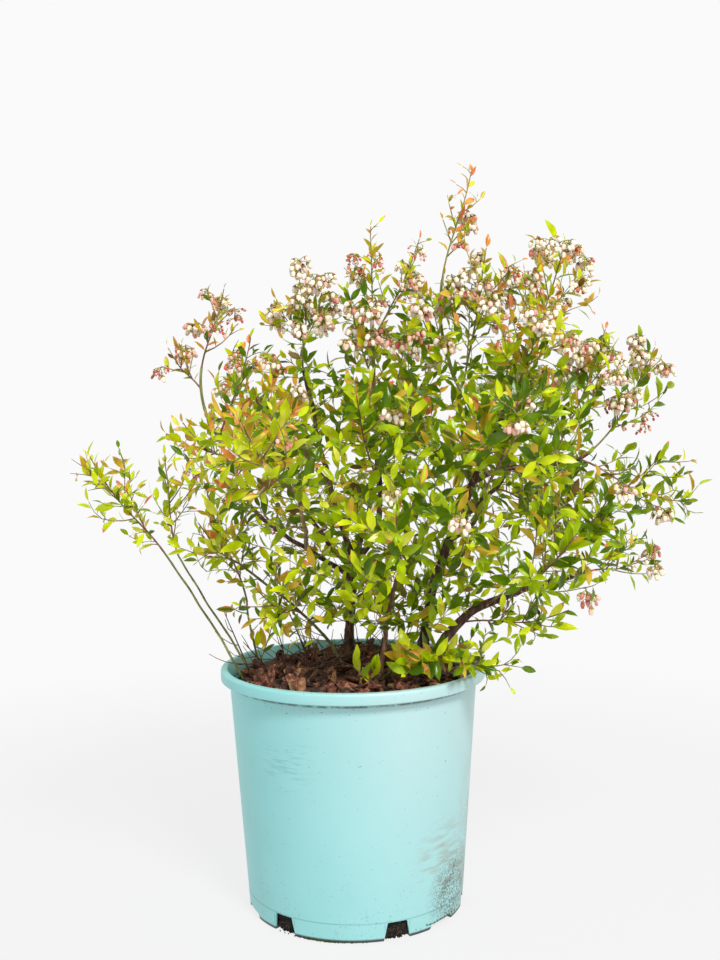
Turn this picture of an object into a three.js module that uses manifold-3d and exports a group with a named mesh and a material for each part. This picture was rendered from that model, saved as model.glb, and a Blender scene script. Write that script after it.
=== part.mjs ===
// A highbush blueberry in flower, in a moulded nursery pot. Millimetres, +Z up, front at -Y.
// The origin is the middle of the pot's flat underside. Canes rise from the mix and fork into
// boughs; every bough carries sprays, which are masses of twigs, leaves and flower clusters.

import * as THREE from "three";
import { mergeVertices } from "three/addons/utils/BufferGeometryUtils.js";
import Module from "manifold-3d";

const wasm = await Module();
wasm.setup();

const gap = 0.3; // between neighbours that touch
const finestEdge = 0.004; // that a join may leave

const pot = {
  height: 240,
  baseRadius: 107.6,
  neckRadius: 124, // of the wall, just under the rim
  rimRadius: 132.6,
  rimHeight: 11,
  rimTopWidth: 7,
  wall: 2.2,
  floor: 3,
  underCut: 2, // how far the flat underside stays in from the wall
  lineHeight: 18.5, // a fine line round the wall, over the drain windows
  lineDepth: 0.5,
  sides: 40,
};

const drain = {
  windows: 6,
  firstWindow: -39, // degrees round from the front, towards +X
  top: 18,
  bottomWidth: 27,
  topWidth: 19.5,
  notches: 3, // low arches in the foot, so that the pot doesn't stand sealed
  firstNotch: -70,
  notchHeight: 5.5,
  notchWidth: 37,
  notchTopWidth: 30,
  depth: 16, // that windows and notches are cut, half of it inside the foot's radius
  below: 1, // the foot that they start, because all of them are open at it
};

const mix = {
  level: 223, // top of the potting mix, where every cane is cut flat
  sides: pot.sides,
  chips: 22, // flakes of bark and curled leaves on it
  chipLength: 26,
  chipWidth: 15,
  chipHeight: 9,
  sizeLeast: 0.75, // of a chip, as a share of the lengths above
  sizeMost: 1.25,
  tiltMost: 0.35, // radians
  rimShare: 0.7, // of a chip's length, kept between its middle and the wall
  bareShare: 0.8, // of a chip's length, kept bare round a cane's foot
  chipLift: 0.5, // of a chip's middle, over the level
  seed: 7,
};

const limbSteps = 5; // straight lengths in a limb and in a spray's stem
const stemSteps = 3;
const seatSteps = 24; // in which a branch is moved in to its seat
const flareHeight = 14; // over which a cane's foot widens to its root flare
const bendShare = 0.38; // of a limb's length, over which it keeps the way that it starts or ends

// foot: x, y on the mix. on: the limb that carries it, and how far along that limb.
// lean: the way it starts. sweep: the way it ends. thick, thin: radius at foot and tip.
const limbs = [
  { name: "trunk_right", foot: [70, 10], lean: [0.02, 0, 1], tip: [166, 24, 516],
    sweep: [0.34, 0.1, 0.94], thick: 5.6, thin: 2.4, flare: 0.7 },
  { name: "trunk_left", foot: [-3, 40], lean: [0, 0, 1], tip: [1, 42, 345],
    sweep: [0.06, 0, 1], thick: 4.8, thin: 3.6, flare: 0.7 },
  { name: "bough_right", foot: [83, -12], lean: [-0.12, 0, 1], tip: [238, -14, 332],
    sweep: [1, -0.02, 0.24], thick: 5.4, thin: 2, flare: 0.6 },
  { name: "stem_centre", foot: [26, -18], lean: [0.12, -0.02, 1], tip: [46, -58, 338],
    sweep: [0.3, -0.6, 0.8], thick: 2.5, thin: 1.6, flare: 0.6 },
  { name: "stem_low_left", foot: [-2, -16], lean: [-0.35, 0, 1], tip: [-104, -26, 341],
    sweep: [-0.9, -0.1, 0.75], thick: 1.6, thin: 1.2, flare: 0.5 },
  { name: "stem_over_rim", foot: [16, -44], lean: [0.8, -0.2, 0.7], tip: [86, -68, 264],
    sweep: [0.9, -0.5, 0.1], thick: 1.4, thin: 1.1, flare: 0.5 },
  { name: "cane_left", foot: [-109, -6], lean: [-0.46, 0, 1], tip: [-187, -4, 355],
    sweep: [-0.6, 0, 1], thick: 1.2, thin: 1, flare: 0.3 },
  { name: "cane_left_back", foot: [-102, 14], lean: [-0.5, 0, 1], tip: [-177, 18, 350],
    sweep: [-0.5, 0, 1], thick: 1.15, thin: 0.95, flare: 0.3 },
  { name: "shoot_left", foot: [-97, 34], lean: [-0.05, -0.1, 1], tip: [-106, 2, 304],
    sweep: [0.05, -0.3, 1], thick: 1.15, thin: 0.95, flare: 0.3 },
  { name: "bough_back", on: ["trunk_left", 0.72], lean: [0.1, 0.8, 0.7], tip: [24, 128, 420],
    sweep: [0.1, 0.5, 1], thick: 3, thin: 1.8 },
  { name: "bough_back_left", on: ["trunk_left", 0.9], lean: [-0.7, 0.6, 0.6], tip: [-66, 104, 428],
    sweep: [-0.3, 0.4, 1], thick: 2.6, thin: 1.7 },
  { name: "arm_left", on: ["trunk_left", 0.82], lean: [-1, -0.2, 0.75], tip: [-112, 2, 428],
    sweep: [-0.35, -0.05, 1], thick: 2.4, thin: 1.6 },
  { name: "arm_upper_left", on: ["arm_left", 1], lean: [-0.4, -0.05, 1], tip: [-146, -2, 540],
    sweep: [0.2, -0.05, 1], thick: 1.8, thin: 1.3 },
  { name: "cane_pale", on: ["trunk_left", 1], lean: [-0.4, -0.1, 1], tip: [-46, 14, 536],
    sweep: [-0.25, -0.05, 1], thick: 2.8, thin: 1.6 },
  { name: "arm_centre", on: ["trunk_left", 0.93], lean: [0.75, -0.05, 0.7], tip: [27, 32, 450],
    sweep: [-0.05, -0.05, 1], thick: 2.8, thin: 2.2 },
  { name: "stem_upper_centre", on: ["arm_centre", 1], lean: [0, -0.05, 1], tip: [25, 14, 582],
    sweep: [0.02, -0.02, 1], thick: 2, thin: 1.4 },
  { name: "bough_front_right", on: ["trunk_right", 0.42], lean: [0.1, -0.9, 0.6], tip: [122, -96, 412],
    sweep: [0.2, -0.5, 1], thick: 2.8, thin: 1.8 },
  { name: "bough_front_left", on: ["arm_left", 0.3], lean: [-0.1, -0.9, 0.5], tip: [-46, -92, 408],
    sweep: [-0.2, -0.5, 1], thick: 2.2, thin: 1.6 },
  { name: "bough_back_right", on: ["trunk_right", 0.5], lean: [0.5, 0.8, 0.5], tip: [176, 108, 446],
    sweep: [0.3, 0.4, 1], thick: 2.9, thin: 1.8 },
  { name: "bough_upper_right", on: ["trunk_right", 0.68], lean: [0.9, -0.1, 0.5], tip: [242, -4, 452],
    sweep: [0.8, 0, 0.6], thick: 2.7, thin: 1.6 },
  { name: "leader", on: ["trunk_right", 0.84], lean: [-0.7, 0, 0.8], tip: [94, 0, 622],
    sweep: [0.1, -0.02, 1], thick: 2.3, thin: 1.4 },
];

// on: the limb, and how far along it the spray's stem leaves. tip: the spray's furthest point.
// wide: half width of the space that the spray keeps to. twigs: side twigs. blooms: flower clusters.
const sprays = [
  { name: "spray_left_end", on: ["cane_left", 1], tip: [-264, -6, 462], wide: 42, twigs: 6, blooms: 0 },
  { name: "spray_left_upper", on: ["cane_left_back", 1], tip: [-190, 24, 462], wide: 38,
    twigs: 5, blooms: 1 },
  { name: "spray_left_shoot", on: ["shoot_left", 1], tip: [-142, -56, 440], wide: 48, twigs: 5, blooms: 0 },
  { name: "spray_low_left", on: ["stem_low_left", 1], tip: [-150, -70, 400], wide: 50, twigs: 5, blooms: 0 },
  { name: "spray_low_front_left", on: ["stem_low_left", 0.55], tip: [-92, -104, 338], wide: 44, twigs: 5,
    blooms: 0 },
  { name: "spray_left_middle", on: ["arm_upper_left", 0.14], tip: [-166, -50, 494], wide: 50,
    twigs: 6, blooms: 0 },
  { name: "spray_left_cluster", on: ["arm_upper_left", 0.82], tip: [-184, 6, 566], wide: 28,
    twigs: 4, blooms: 2 },
  { name: "spray_left_spire", on: ["arm_upper_left", 1], tip: [-120, -6, 624], wide: 30,
    twigs: 5, blooms: 3 },
  { name: "spray_left_inner", on: ["arm_upper_left", 0.35], tip: [-92, -20, 578], wide: 44,
    twigs: 5, blooms: 2 },
  { name: "spray_front_left", on: ["bough_front_left", 1], tip: [-98, -176, 500], wide: 64,
    twigs: 6, blooms: 1 },
  { name: "spray_pale_side", on: ["cane_pale", 0.4], tip: [-92, -70, 520], wide: 60, twigs: 5, blooms: 1 },
  { name: "spray_pale_top", on: ["cane_pale", 1], tip: [-38, -8, 636], wide: 48, twigs: 6, blooms: 4 },
  { name: "spray_centre_slim", on: ["stem_upper_centre", 1], tip: [24, 0, 684], wide: 30,
    twigs: 5, blooms: 2 },
  { name: "spray_centre_upper", on: ["stem_upper_centre", 0.5], tip: [-2, -50, 622], wide: 54, twigs: 5,
    blooms: 3 },
  { name: "spray_centre_tall", on: ["stem_upper_centre", 0.86], tip: [74, -24, 668], wide: 36,
    twigs: 5, blooms: 3 },
  { name: "spray_centre_front", on: ["arm_centre", 0.7], tip: [6, -128, 516], wide: 64, twigs: 6, blooms: 1 },
  { name: "spray_front_low", on: ["stem_centre", 1], tip: [40, -178, 416], wide: 64, twigs: 6, blooms: 1 },
  { name: "spray_leader_top", on: ["leader", 1], tip: [126, -6, 738], wide: 24, twigs: 5, blooms: 2 },
  { name: "spray_leader_left", on: ["leader", 0.55], tip: [62, -90, 596], wide: 56, twigs: 5, blooms: 2 },
  { name: "spray_leader_right", on: ["leader", 0.3], tip: [136, -40, 662], wide: 60, twigs: 6, blooms: 5 },
  { name: "spray_trunk_top", on: ["trunk_right", 1], tip: [222, 10, 670], wide: 60, twigs: 6, blooms: 4 },
  { name: "spray_trunk_front", on: ["trunk_right", 0.9], tip: [176, -112, 578], wide: 68,
    twigs: 6, blooms: 2 },
  { name: "spray_shoulder", on: ["bough_upper_right", 0.62], tip: [262, 6, 586], wide: 62,
    twigs: 6, blooms: 3 },
  { name: "spray_right_cluster", on: ["bough_upper_right", 1], tip: [310, 2, 562], wide: 38,
    twigs: 5, blooms: 4 },
  { name: "spray_right_end", on: ["bough_upper_right", 0.85], tip: [352, -20, 398], wide: 48,
    twigs: 6, blooms: 1 },
  { name: "spray_low_right", on: ["bough_right", 1], tip: [304, -8, 352], wide: 36, twigs: 5, blooms: 2 },
  { name: "spray_right_middle", on: ["bough_right", 0.72], tip: [266, -50, 436], wide: 70,
    twigs: 6, blooms: 1 },
  { name: "spray_front_right_low", on: ["bough_right", 0.5], tip: [206, -150, 392], wide: 64,
    twigs: 6, blooms: 1 },
  { name: "spray_low_end", on: ["bough_right", 0.36], tip: [216, -60, 304], wide: 36, twigs: 5, blooms: 0 },
  { name: "spray_over_rim", on: ["stem_over_rim", 1], tip: [152, -112, 262], wide: 38, twigs: 5, blooms: 0 },
  { name: "spray_front_right", on: ["bough_front_right", 1], tip: [146, -188, 510], wide: 66,
    twigs: 6, blooms: 2 },
  { name: "spray_front_middle", on: ["bough_front_right", 0.6], tip: [84, -196, 412], wide: 60,
    twigs: 5, blooms: 1 },
  { name: "spray_back_right", on: ["bough_back_right", 1], tip: [214, 176, 548], wide: 68,
    twigs: 6, blooms: 3 },
  { name: "spray_back_right_low", on: ["bough_back_right", 0.6], tip: [246, 136, 402], wide: 64,
    twigs: 6, blooms: 1 },
  { name: "spray_back", on: ["bough_back", 1], tip: [56, 222, 520], wide: 70, twigs: 6, blooms: 2 },
  { name: "spray_back_top", on: ["bough_back", 0.85], tip: [66, 92, 600], wide: 66, twigs: 6, blooms: 3 },
  { name: "spray_back_left", on: ["bough_back_left", 1], tip: [-122, 168, 536], wide: 68,
    twigs: 6, blooms: 2 },
];

const spray = {
  stemThick: 2.1, // radii of the three-sided stems and twigs
  stemThin: 1.5,
  twigThick: 0.9,
  twigThin: 0.8,
  firstTwig: 0.16, // share of the stem below its first twig
  lastTwig: 0.93,
  leanLeast: 0.6, // radians between a twig and its stem
  leanMost: 1.15,
  lift: 0.22, // how much a twig turns up to the light
  turnMost: 0.7, // radians that a twig may stand round from its turn in the spiral
  longest: 1.35, // a twig, as a share of its space's half width
  shortest: 12, // a twig with less room than this isn't grown
  tipLeaf: 0.8, // share of a leaf that a twig leaves room for past its end
  tipRoom: 16, // that its space goes on past the furthest leaf
  margin: 1, // kept clear of other sprays' space, limbs and stems
  firstSeed: 46,
};

const leaf = {
  length: 52, // in the widest sprays; leaves are smaller in slim ones
  width: 28,
  fullSizeWide: 56, // half width of a spray from which its leaves have their full size
  keel: 0.034, // how deep its folded middle is, as a share of its length
  widest: 0.42, // share of its length from the root to its widest place
  perTwig: 3,
  firstRoot: 0.3, // share of the way up a twig to its first leaf, and to its last
  lastRoot: 0.98,
  spacing: 17, // between the middles of leaves in one spray, so that few cross
  clear: 1.5, // from its corners to the twigs of its spray
  leanLeast: 0.65, // radians between a leaf and its twig
  leanMost: 1.1,
  leanLast: 0.1, // of the leaf at a twig's end
  tilt: 0.9, // radians that its face leans out from level
  trials: 5, // turns round the twig that it tries, a little smaller each time
  shrink: 0.08,
};

const bloom = { length: 24, width: 17, hang: 9 };

const crownMiddle = 30; // x of the upright line that the leaves face away from
const goldenTurn = 2.399963; // radians round the stem from one twig to the next

const colours = {
  pot: "#9fdcdc",
  mix: "#5a3827",
  bark: "#4b3629",
  youngBark: "#8c9a4a",
  leaves: "#74a51c",
  leavesYoung: "#a9a63a",
};

const up = new THREE.Vector3(0, 0, 1);
const vector = (xyz) => new THREE.Vector3(...xyz);
const mixNumbers = THREE.MathUtils.lerp;

// The same small generator everywhere, so that each spray is the same on every run.
function seeded(seed) {
  let state = seed * 7919 + 1;
  return () => {
    state = (Math.imul(state, 1664525) + 1013904223) >>> 0;
    return state / 4294967296;
  };
}

function solidOf(geometry) {
  const bare = geometry.clone();
  bare.deleteAttribute("normal");
  bare.deleteAttribute("uv");
  const merged = mergeVertices(bare);
  const vertProperties = merged.attributes.position.array;
  const triVerts = new Uint32Array(merged.index.array);
  return new wasm.Manifold(new wasm.Mesh({ numProp: 3, vertProperties, triVerts }));
}

function geometryOf(solid) {
  const mesh = solid.getMesh();
  const geometry = new THREE.BufferGeometry();
  geometry.setAttribute("position", new THREE.BufferAttribute(mesh.vertProperties, 3));
  geometry.setIndex(new THREE.BufferAttribute(mesh.triVerts, 1));
  geometry.computeVertexNormals();
  return geometry;
}

function shortestEdge(solid) {
  const { vertProperties, triVerts } = solid.getMesh();
  const corner = (i) => new THREE.Vector3().fromArray(vertProperties, triVerts[i] * 3);
  let shortest = Infinity;
  for (let i = 0; i < triVerts.length; i++) {
    const next = i % 3 === 2 ? i - 2 : i + 1;
    shortest = Math.min(shortest, corner(i).distanceTo(corner(next)));
  }
  return shortest;
}

// Two solids joined, or the first alone where the join would leave an edge too fine to build.
function fused(whole, geometry) {
  const both = whole.add(solidOf(geometry));
  return shortestEdge(both) > finestEdge ? both : whole;
}

function named(name, geometry, color, roughness) {
  const material = new THREE.MeshStandardMaterial({ color, roughness, metalness: 0 });
  const mesh = new THREE.Mesh(geometry, material);
  mesh.name = name;
  return mesh;
}

// ---- Pot ----

const wallRadius = (z) => mixNumbers(pot.baseRadius, pot.neckRadius, z / (pot.height - pot.rimHeight));

function turned(profile, sides) {
  const points = profile.map(([radius, height]) => new THREE.Vector2(radius, height));
  return new THREE.LatheGeometry(points, sides).rotateX(Math.PI / 2);
}

// A block whose outline, x round the pot and y up it, is pushed out through the wall at an angle.
function wallCutter(outline, degrees) {
  const shape = new THREE.Shape(outline.map(([x, y]) => new THREE.Vector2(x, y)));
  const block = new THREE.ExtrudeGeometry(shape, { depth: drain.depth, bevelEnabled: false });
  block.rotateX(Math.PI / 2);
  block.translate(0, -(pot.baseRadius - drain.depth / 2), 0);
  return solidOf(block.rotateZ(THREE.MathUtils.degToRad(degrees)));
}

function trapezoid(top, bottomWidth, topWidth) {
  return [
    [-bottomWidth / 2, -drain.below],
    [bottomWidth / 2, -drain.below],
    [topWidth / 2, top],
    [-topWidth / 2, top],
  ];
}

function makePot() {
  const rimFoot = pot.height - pot.rimHeight;
  const rimInner = pot.rimRadius - pot.rimTopWidth;
  const line = pot.lineDepth;
  const shell = turned(
    [
      [0, 0],
      [pot.baseRadius - pot.underCut, 0],
      [wallRadius(2), 2],
      [wallRadius(pot.lineHeight - line), pot.lineHeight - line],
      [wallRadius(pot.lineHeight) - line, pot.lineHeight],
      [wallRadius(pot.lineHeight + line), pot.lineHeight + line],
      [pot.neckRadius, rimFoot],
      [pot.rimRadius, rimFoot + 1.5],
      [pot.rimRadius, pot.height - 2.5],
      [pot.rimRadius - 2, pot.height],
      [rimInner + 0.5, pot.height - 0.5],
      [rimInner - 1.5, pot.height - 3],
      [pot.neckRadius - pot.wall, rimFoot],
      [wallRadius(pot.floor) - pot.wall, pot.floor],
      [0, pot.floor],
    ],
    pot.sides,
  );
  let body = solidOf(shell);
  const window = trapezoid(drain.top, drain.bottomWidth, drain.topWidth);
  for (let i = 0; i < drain.windows; i++) {
    body = body.subtract(wallCutter(window, drain.firstWindow + (i * 360) / drain.windows));
  }
  const notch = trapezoid(drain.notchHeight, drain.notchWidth, drain.notchTopWidth);
  for (let i = 0; i < drain.notches; i++) {
    body = body.subtract(wallCutter(notch, drain.firstNotch + (i * 360) / drain.notches));
  }
  return named("pot", geometryOf(body), colours.pot, 0.55);
}

// ---- Potting mix ----

const feet = limbs.filter((limb) => limb.foot).map((limb) => limb.foot);

function makeMix() {
  const lowRadius = wallRadius(pot.floor) - pot.wall - gap;
  const topRadius = wallRadius(mix.level) - pot.wall - gap;
  const profile = [
    [0, pot.floor + gap],
    [lowRadius, pot.floor + gap],
    [topRadius, mix.level],
    [0, mix.level],
  ];
  let body = solidOf(turned(profile, mix.sides));
  const random = seeded(mix.seed);
  for (let i = 0; i < mix.chips; i++) {
    const ring = Math.sqrt((i + 0.5) / mix.chips) * (topRadius - mix.chipLength * mix.rimShare);
    const turn = i * goldenTurn;
    const place = [ring * Math.cos(turn), ring * Math.sin(turn)];
    const size = mixNumbers(mix.sizeLeast, mix.sizeMost, random());
    const tilt = mixNumbers(-mix.tiltMost, mix.tiltMost, random());
    const facing = random() * Math.PI;
    const room = Math.min(...feet.map((foot) => Math.hypot(foot[0] - place[0], foot[1] - place[1])));
    if (room < mix.chipLength * mix.bareShare) continue;
    const chip = new THREE.OctahedronGeometry(1, 0);
    chip.scale((mix.chipLength / 2) * size, (mix.chipWidth / 2) * size, mix.chipHeight * size);
    chip.rotateX(tilt).rotateZ(facing).translate(place[0], place[1], mix.level + mix.chipLift);
    body = fused(body, chip);
  }
  return named("potting_mix", geometryOf(body), colours.mix, 0.9);
}

// ---- Limbs ----

function bent(start, lean, tip, sweep) {
  const reach = start.distanceTo(tip) * bendShare;
  const afterStart = start.clone().addScaledVector(lean, reach);
  const beforeTip = tip.clone().addScaledVector(sweep, -reach);
  return new THREE.CubicBezierCurve3(start, afterStart, beforeTip, tip);
}

// A point on a branch made of straight lengths, and the way that it runs there.
function onBranch(points, along) {
  const place = along * (points.length - 1);
  const step = Math.min(Math.floor(place), points.length - 2);
  return {
    point: points[step].clone().lerp(points[step + 1], place - step),
    way: points[step + 1].clone().sub(points[step]).normalize(),
  };
}

// The direction, square to both ends of a branch, that its corners are counted from.
function acrossOf(points) {
  const start = onBranch(points, 0).way;
  const across = new THREE.Vector3().crossVectors(start, onBranch(points, 1).way);
  return across.length() < 0.05 ? across.crossVectors(start, new THREE.Vector3(0.3, 0.9, 0.31)) : across;
}

// Two directions square to the way that a branch runs. Its first corner lies along the first.
function ringFrame(across, way) {
  const side = new THREE.Vector3().crossVectors(across, way).normalize();
  return [new THREE.Vector3().crossVectors(side, way), side];
}

// A tapering branch: a cylinder laid along a line of points. A flat foot is cut level.
function branchGeometry(points, radiusAt, sides, flatFoot = false) {
  const steps = points.length - 1;
  const geometry = new THREE.CylinderGeometry(1, 1, 1, sides, steps);
  const places = geometry.getAttribute("position");
  const across = acrossOf(points);
  for (let i = 0; i < places.count; i++) {
    const ring = Math.round((places.getY(i) + 0.5) * steps);
    const way = points[Math.min(ring + 1, steps)].clone().sub(points[Math.max(ring - 1, 0)]).normalize();
    const [first, second] = ringFrame(across, way);
    const radius = radiusAt(ring / steps);
    const place = points[ring].clone();
    place.addScaledVector(first, places.getZ(i) * radius).addScaledVector(second, places.getX(i) * radius);
    if (flatFoot && ring === 0) place.z = points[0].z;
    places.setXYZ(i, place.x, place.y, place.z);
  }
  return geometry;
}

// Points round the edge of a branch's first ring.
function firstRing(points, radius, sides) {
  const [first, second] = ringFrame(acrossOf(points), onBranch(points, 0).way);
  const corners = Array.from({ length: sides }, (_, i) => {
    const turn = (i * 2 * Math.PI) / sides;
    const corner = points[0].clone().addScaledVector(first, radius * Math.cos(turn));
    return corner.addScaledVector(second, radius * Math.sin(turn));
  });
  return corners.flatMap((corner, i) =>
    [0, 0.25, 0.5, 0.75].map((share) => corner.clone().lerp(corners[(i + 1) % sides], share)),
  );
}

function facesOf({ index, attributes }) {
  return Array.from({ length: index.count / 3 }, (_, i) => {
    const [a, b, c] = [0, 1, 2].map((corner) => index.getX(i * 3 + corner));
    return new THREE.Triangle().setFromAttributeAndIndices(attributes.position, a, b, c);
  });
}

// The points of a branch on its carrier, moved in along lean until its first ring keeps just the gap.
// grow gives the points for a start.
function seated(carrier, along, lean, radius, sides, grow) {
  const middle = onBranch(carrier.points, along).point;
  const nearest = new THREE.Vector3();
  const distanceOf = (point) =>
    Math.min(...carrier.faces.map((face) => face.closestPointToPoint(point, nearest).distanceTo(point)));
  let start = middle.addScaledVector(lean, carrier.farOut);
  for (let step = 0; step < seatSteps; step++) {
    const distance = Math.min(...firstRing(grow(start), radius, sides).map(distanceOf));
    start = start.addScaledVector(lean, gap - distance);
  }
  return grow(start);
}

const grown = new Map();

for (const limb of limbs) {
  const lean = vector(limb.lean).normalize();
  const sweep = vector(limb.sweep).normalize();
  const tip = vector(limb.tip);
  const sides = limb.thick > 2.5 ? 6 : 5;
  const grow = (start) => bent(start, lean, tip, sweep).getPoints(limbSteps);
  const points = limb.foot
    ? grow(new THREE.Vector3(limb.foot[0], limb.foot[1], mix.level + gap))
    : seated(grown.get(limb.on[0]), limb.on[1], lean, limb.thick, sides, grow);
  const flareShare = flareHeight / points[0].distanceTo(tip);
  const flare = limb.flare ?? 0;
  const radiusAt = (along) =>
    mixNumbers(limb.thick, limb.thin, along) * (1 + flare * Math.exp(-along / flareShare));
  const geometry = branchGeometry(points, radiusAt, sides, Boolean(limb.foot));
  const mesh = named(limb.name, geometry, limb.thin < 1.6 ? colours.youngBark : colours.bark, 0.85);
  grown.set(limb.name, { points, radiusAt, mesh, faces: facesOf(geometry), farOut: 4 * limb.thick });
}

// ---- Sprays ----

// Each spray's stem, and the long rounded space round it.
const stems = sprays.map((row, index) => {
  const [carrierName, seatAt] = row.on;
  const carrier = grown.get(carrierName);
  const tip = vector(row.tip);
  const from = onBranch(carrier.points, seatAt);
  const toTip = tip.clone().sub(from.point).normalize();
  const lean = seatAt === 1 ? toTip.clone().add(from.way).normalize() : toTip;
  const sweep = toTip.clone().addScaledVector(up, spray.lift).normalize();
  const leafSize = Math.min(row.wide / leaf.fullSizeWide, 1);
  const end = tip.clone().addScaledVector(sweep, -leaf.length * leafSize);
  const grow = (start) => bent(start, lean, end, sweep).getPoints(stemSteps);
  const points = seated(carrier, seatAt, lean, spray.stemThick, 3, grow);
  const axis = tip.clone().sub(points[0]);
  const half = (axis.length() + spray.tipRoom) / 2;
  axis.normalize();
  const centre = points[0].clone().addScaledVector(axis, half);
  return { row, index, points, centre, axis, half, wide: row.wide, leafSize };
});

// How far a spray's space reaches from its middle in one direction.
function reachOf(stem, direction) {
  const lengthwise = direction.dot(stem.axis);
  const crosswise = 1 - lengthwise * lengthwise;
  return 1 / Math.sqrt((lengthwise / stem.half) ** 2 + crosswise / stem.wide ** 2);
}

// Flat walls between neighbouring spaces, so that no two sprays share any room.
for (const stem of stems) {
  stem.walls = [];
  for (const other of stems) {
    if (other === stem) continue;
    const towards = other.centre.clone().sub(stem.centre);
    const distance = towards.length();
    towards.normalize();
    const own = reachOf(stem, towards);
    const theirs = reachOf(other, towards);
    if (own + theirs < distance) continue;
    stem.walls.push({ towards, limit: (distance * own) / (own + theirs) - spray.margin });
  }
}

function insideSpace(stem, point) {
  const offset = point.clone().sub(stem.centre);
  const distance = offset.length();
  if (distance > reachOf(stem, offset.clone().normalize())) return false;
  return stem.walls.every((wall) => offset.dot(wall.towards) < wall.limit);
}

// Whether a point is clear of branches made of straight lengths.
function clearOfBranches(point, branches, margin) {
  const nearest = new THREE.Vector3();
  return branches.every(({ points, radiusAt }) =>
    points.slice(1).every((end, i) => {
      new THREE.Line3(points[i], end).closestPointToPoint(point, true, nearest);
      return nearest.distanceTo(point) > radiusAt(i / (points.length - 1)) + margin;
    }),
  );
}

const stemRadius = (along) => mixNumbers(spray.stemThick, spray.stemThin, along);
const twigRadius = (along) => mixNumbers(spray.twigThick, spray.twigThin, along);

for (const stem of stems) {
  const others = stems.filter((other) => other !== stem);
  stem.wood = [...grown.values(), ...others.map(({ points }) => ({ points, radiusAt: stemRadius }))];
}

function clearOfPot(point) {
  const overRim = point.z > pot.height + spray.margin * 2;
  return overRim || Math.hypot(point.x, point.y) > pot.rimRadius + spray.margin * 2;
}

function roomFor(stem, points) {
  return points.every((point) => {
    const inside = insideSpace(stem, point) && clearOfPot(point);
    return inside && clearOfBranches(point, stem.wood, spray.margin);
  });
}

// The corners of a leaf: its root, its two sides where it is widest, its keel and its tip.
function leafCorners(root, along, face, size) {
  const side = new THREE.Vector3().crossVectors(face, along).normalize();
  const below = new THREE.Vector3().crossVectors(side, along);
  const middle = root.clone().addScaledVector(along, leaf.widest * leaf.length * size);
  const halfWidth = (leaf.width * size) / 2;
  return {
    root,
    middle,
    tip: root.clone().addScaledVector(along, leaf.length * size),
    left: middle.clone().addScaledVector(side, halfWidth),
    right: middle.clone().addScaledVector(side, -halfWidth),
    keel: middle.clone().addScaledVector(below, leaf.keel * leaf.length * size),
  };
}

// A cone of three sides, with the middle of its base drawn out to the leaf's root.
function leafGeometry({ root, tip, left, right, keel }) {
  const geometry = new THREE.ConeGeometry(1, 1, 3);
  const places = geometry.getAttribute("position");
  for (let i = 0; i < places.count; i++) {
    const [x, y, z] = [places.getX(i), places.getY(i), places.getZ(i)];
    const base = Math.hypot(x, z) < 0.5 ? root : z > 0.5 ? keel : x > 0 ? left : right;
    const place = y > 0 ? tip : base;
    places.setXYZ(i, place.x, place.y, place.z);
  }
  return geometry;
}

function bloomGeometry(middle) {
  const cluster = new THREE.OctahedronGeometry(0.5, 0);
  cluster.scale(bloom.width, bloom.width, bloom.length);
  return cluster.translate(middle.x, middle.y, middle.z);
}

function leaning(way, first, second, turn, lean) {
  const out = first.clone().multiplyScalar(Math.cos(turn)).addScaledVector(second, Math.sin(turn));
  return way.clone().multiplyScalar(Math.cos(lean)).addScaledVector(out, Math.sin(lean)).normalize();
}

const outward = (place) => new THREE.Vector3(place.x - crownMiddle, place.y, 0).normalize();

// Leaves along a twig, each out of one of its three flats, and a last one that carries it on unless
// it ends in a flower cluster. Each takes the first flat and size that has room.
function growLeaves(stem, { points, flowering }, random, kept) {
  const across = acrossOf(points);
  const count = flowering ? leaf.perTwig - 1 : leaf.perTwig;
  for (let k = 0; k < count; k++) {
    const last = k === leaf.perTwig - 1;
    const share = k / (leaf.perTwig - 1);
    const rootAt = last ? leaf.lastRoot : mixNumbers(leaf.firstRoot, 1, share);
    const { point: root, way } = onBranch(points, rootAt);
    const [first, second] = ringFrame(across, way);
    const face = outward(root).multiplyScalar(Math.sin(leaf.tilt)).addScaledVector(up, Math.cos(leaf.tilt));
    face.addScaledVector(first, random() - 0.5).normalize();
    const lean = last ? leaf.leanLast : mixNumbers(leaf.leanLeast, leaf.leanMost, random());
    const firstFlat = Math.floor(random() * 3);
    for (let trial = 0; trial < leaf.trials; trial++) {
      const turn = ((firstFlat + k + trial) * 2 + 1) * (Math.PI / 3);
      const along = leaning(way, first, second, turn, lean);
      const grownLeaf = leafCorners(root, along, face, stem.leafSize * (1 - trial * leaf.shrink));
      const { middle, tip, left, right } = grownLeaf;
      const edge = [left, right].flatMap((corner) => [tip, root].map((end) => corner.clone().lerp(end, 0.5)));
      const crowded = kept.leaves.some((other) => {
        const apart = Math.min(other.middle.distanceTo(middle), other.middle.distanceTo(tip));
        return apart < leaf.spacing * stem.leafSize;
      });
      const corners = [middle, tip, left, right];
      const crossing = corners.some((corner) => !clearOfBranches(corner, kept.twigs, leaf.clear));
      if (crowded || crossing || !roomFor(stem, [...corners, ...edge])) continue;
      const whole = fused(kept.whole, leafGeometry(grownLeaf));
      if (whole === kept.whole) continue;
      kept.whole = whole;
      kept.leaves.push(grownLeaf);
      break;
    }
  }
}

// The longest straight twig that the space has room for, with a leaf at its end, or none.
function growTwig(stem, root, way) {
  const room = leaf.length * stem.leafSize * spray.tipLeaf;
  for (let length = stem.wide * spray.longest; length > spray.shortest; length *= 0.9) {
    const [middle, end, beyond] = [length / 2, length, length + room].map((far) => {
      return root.clone().addScaledVector(way, far);
    });
    if (roomFor(stem, [middle, end, beyond])) return [root, end];
  }
  return null;
}

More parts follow.
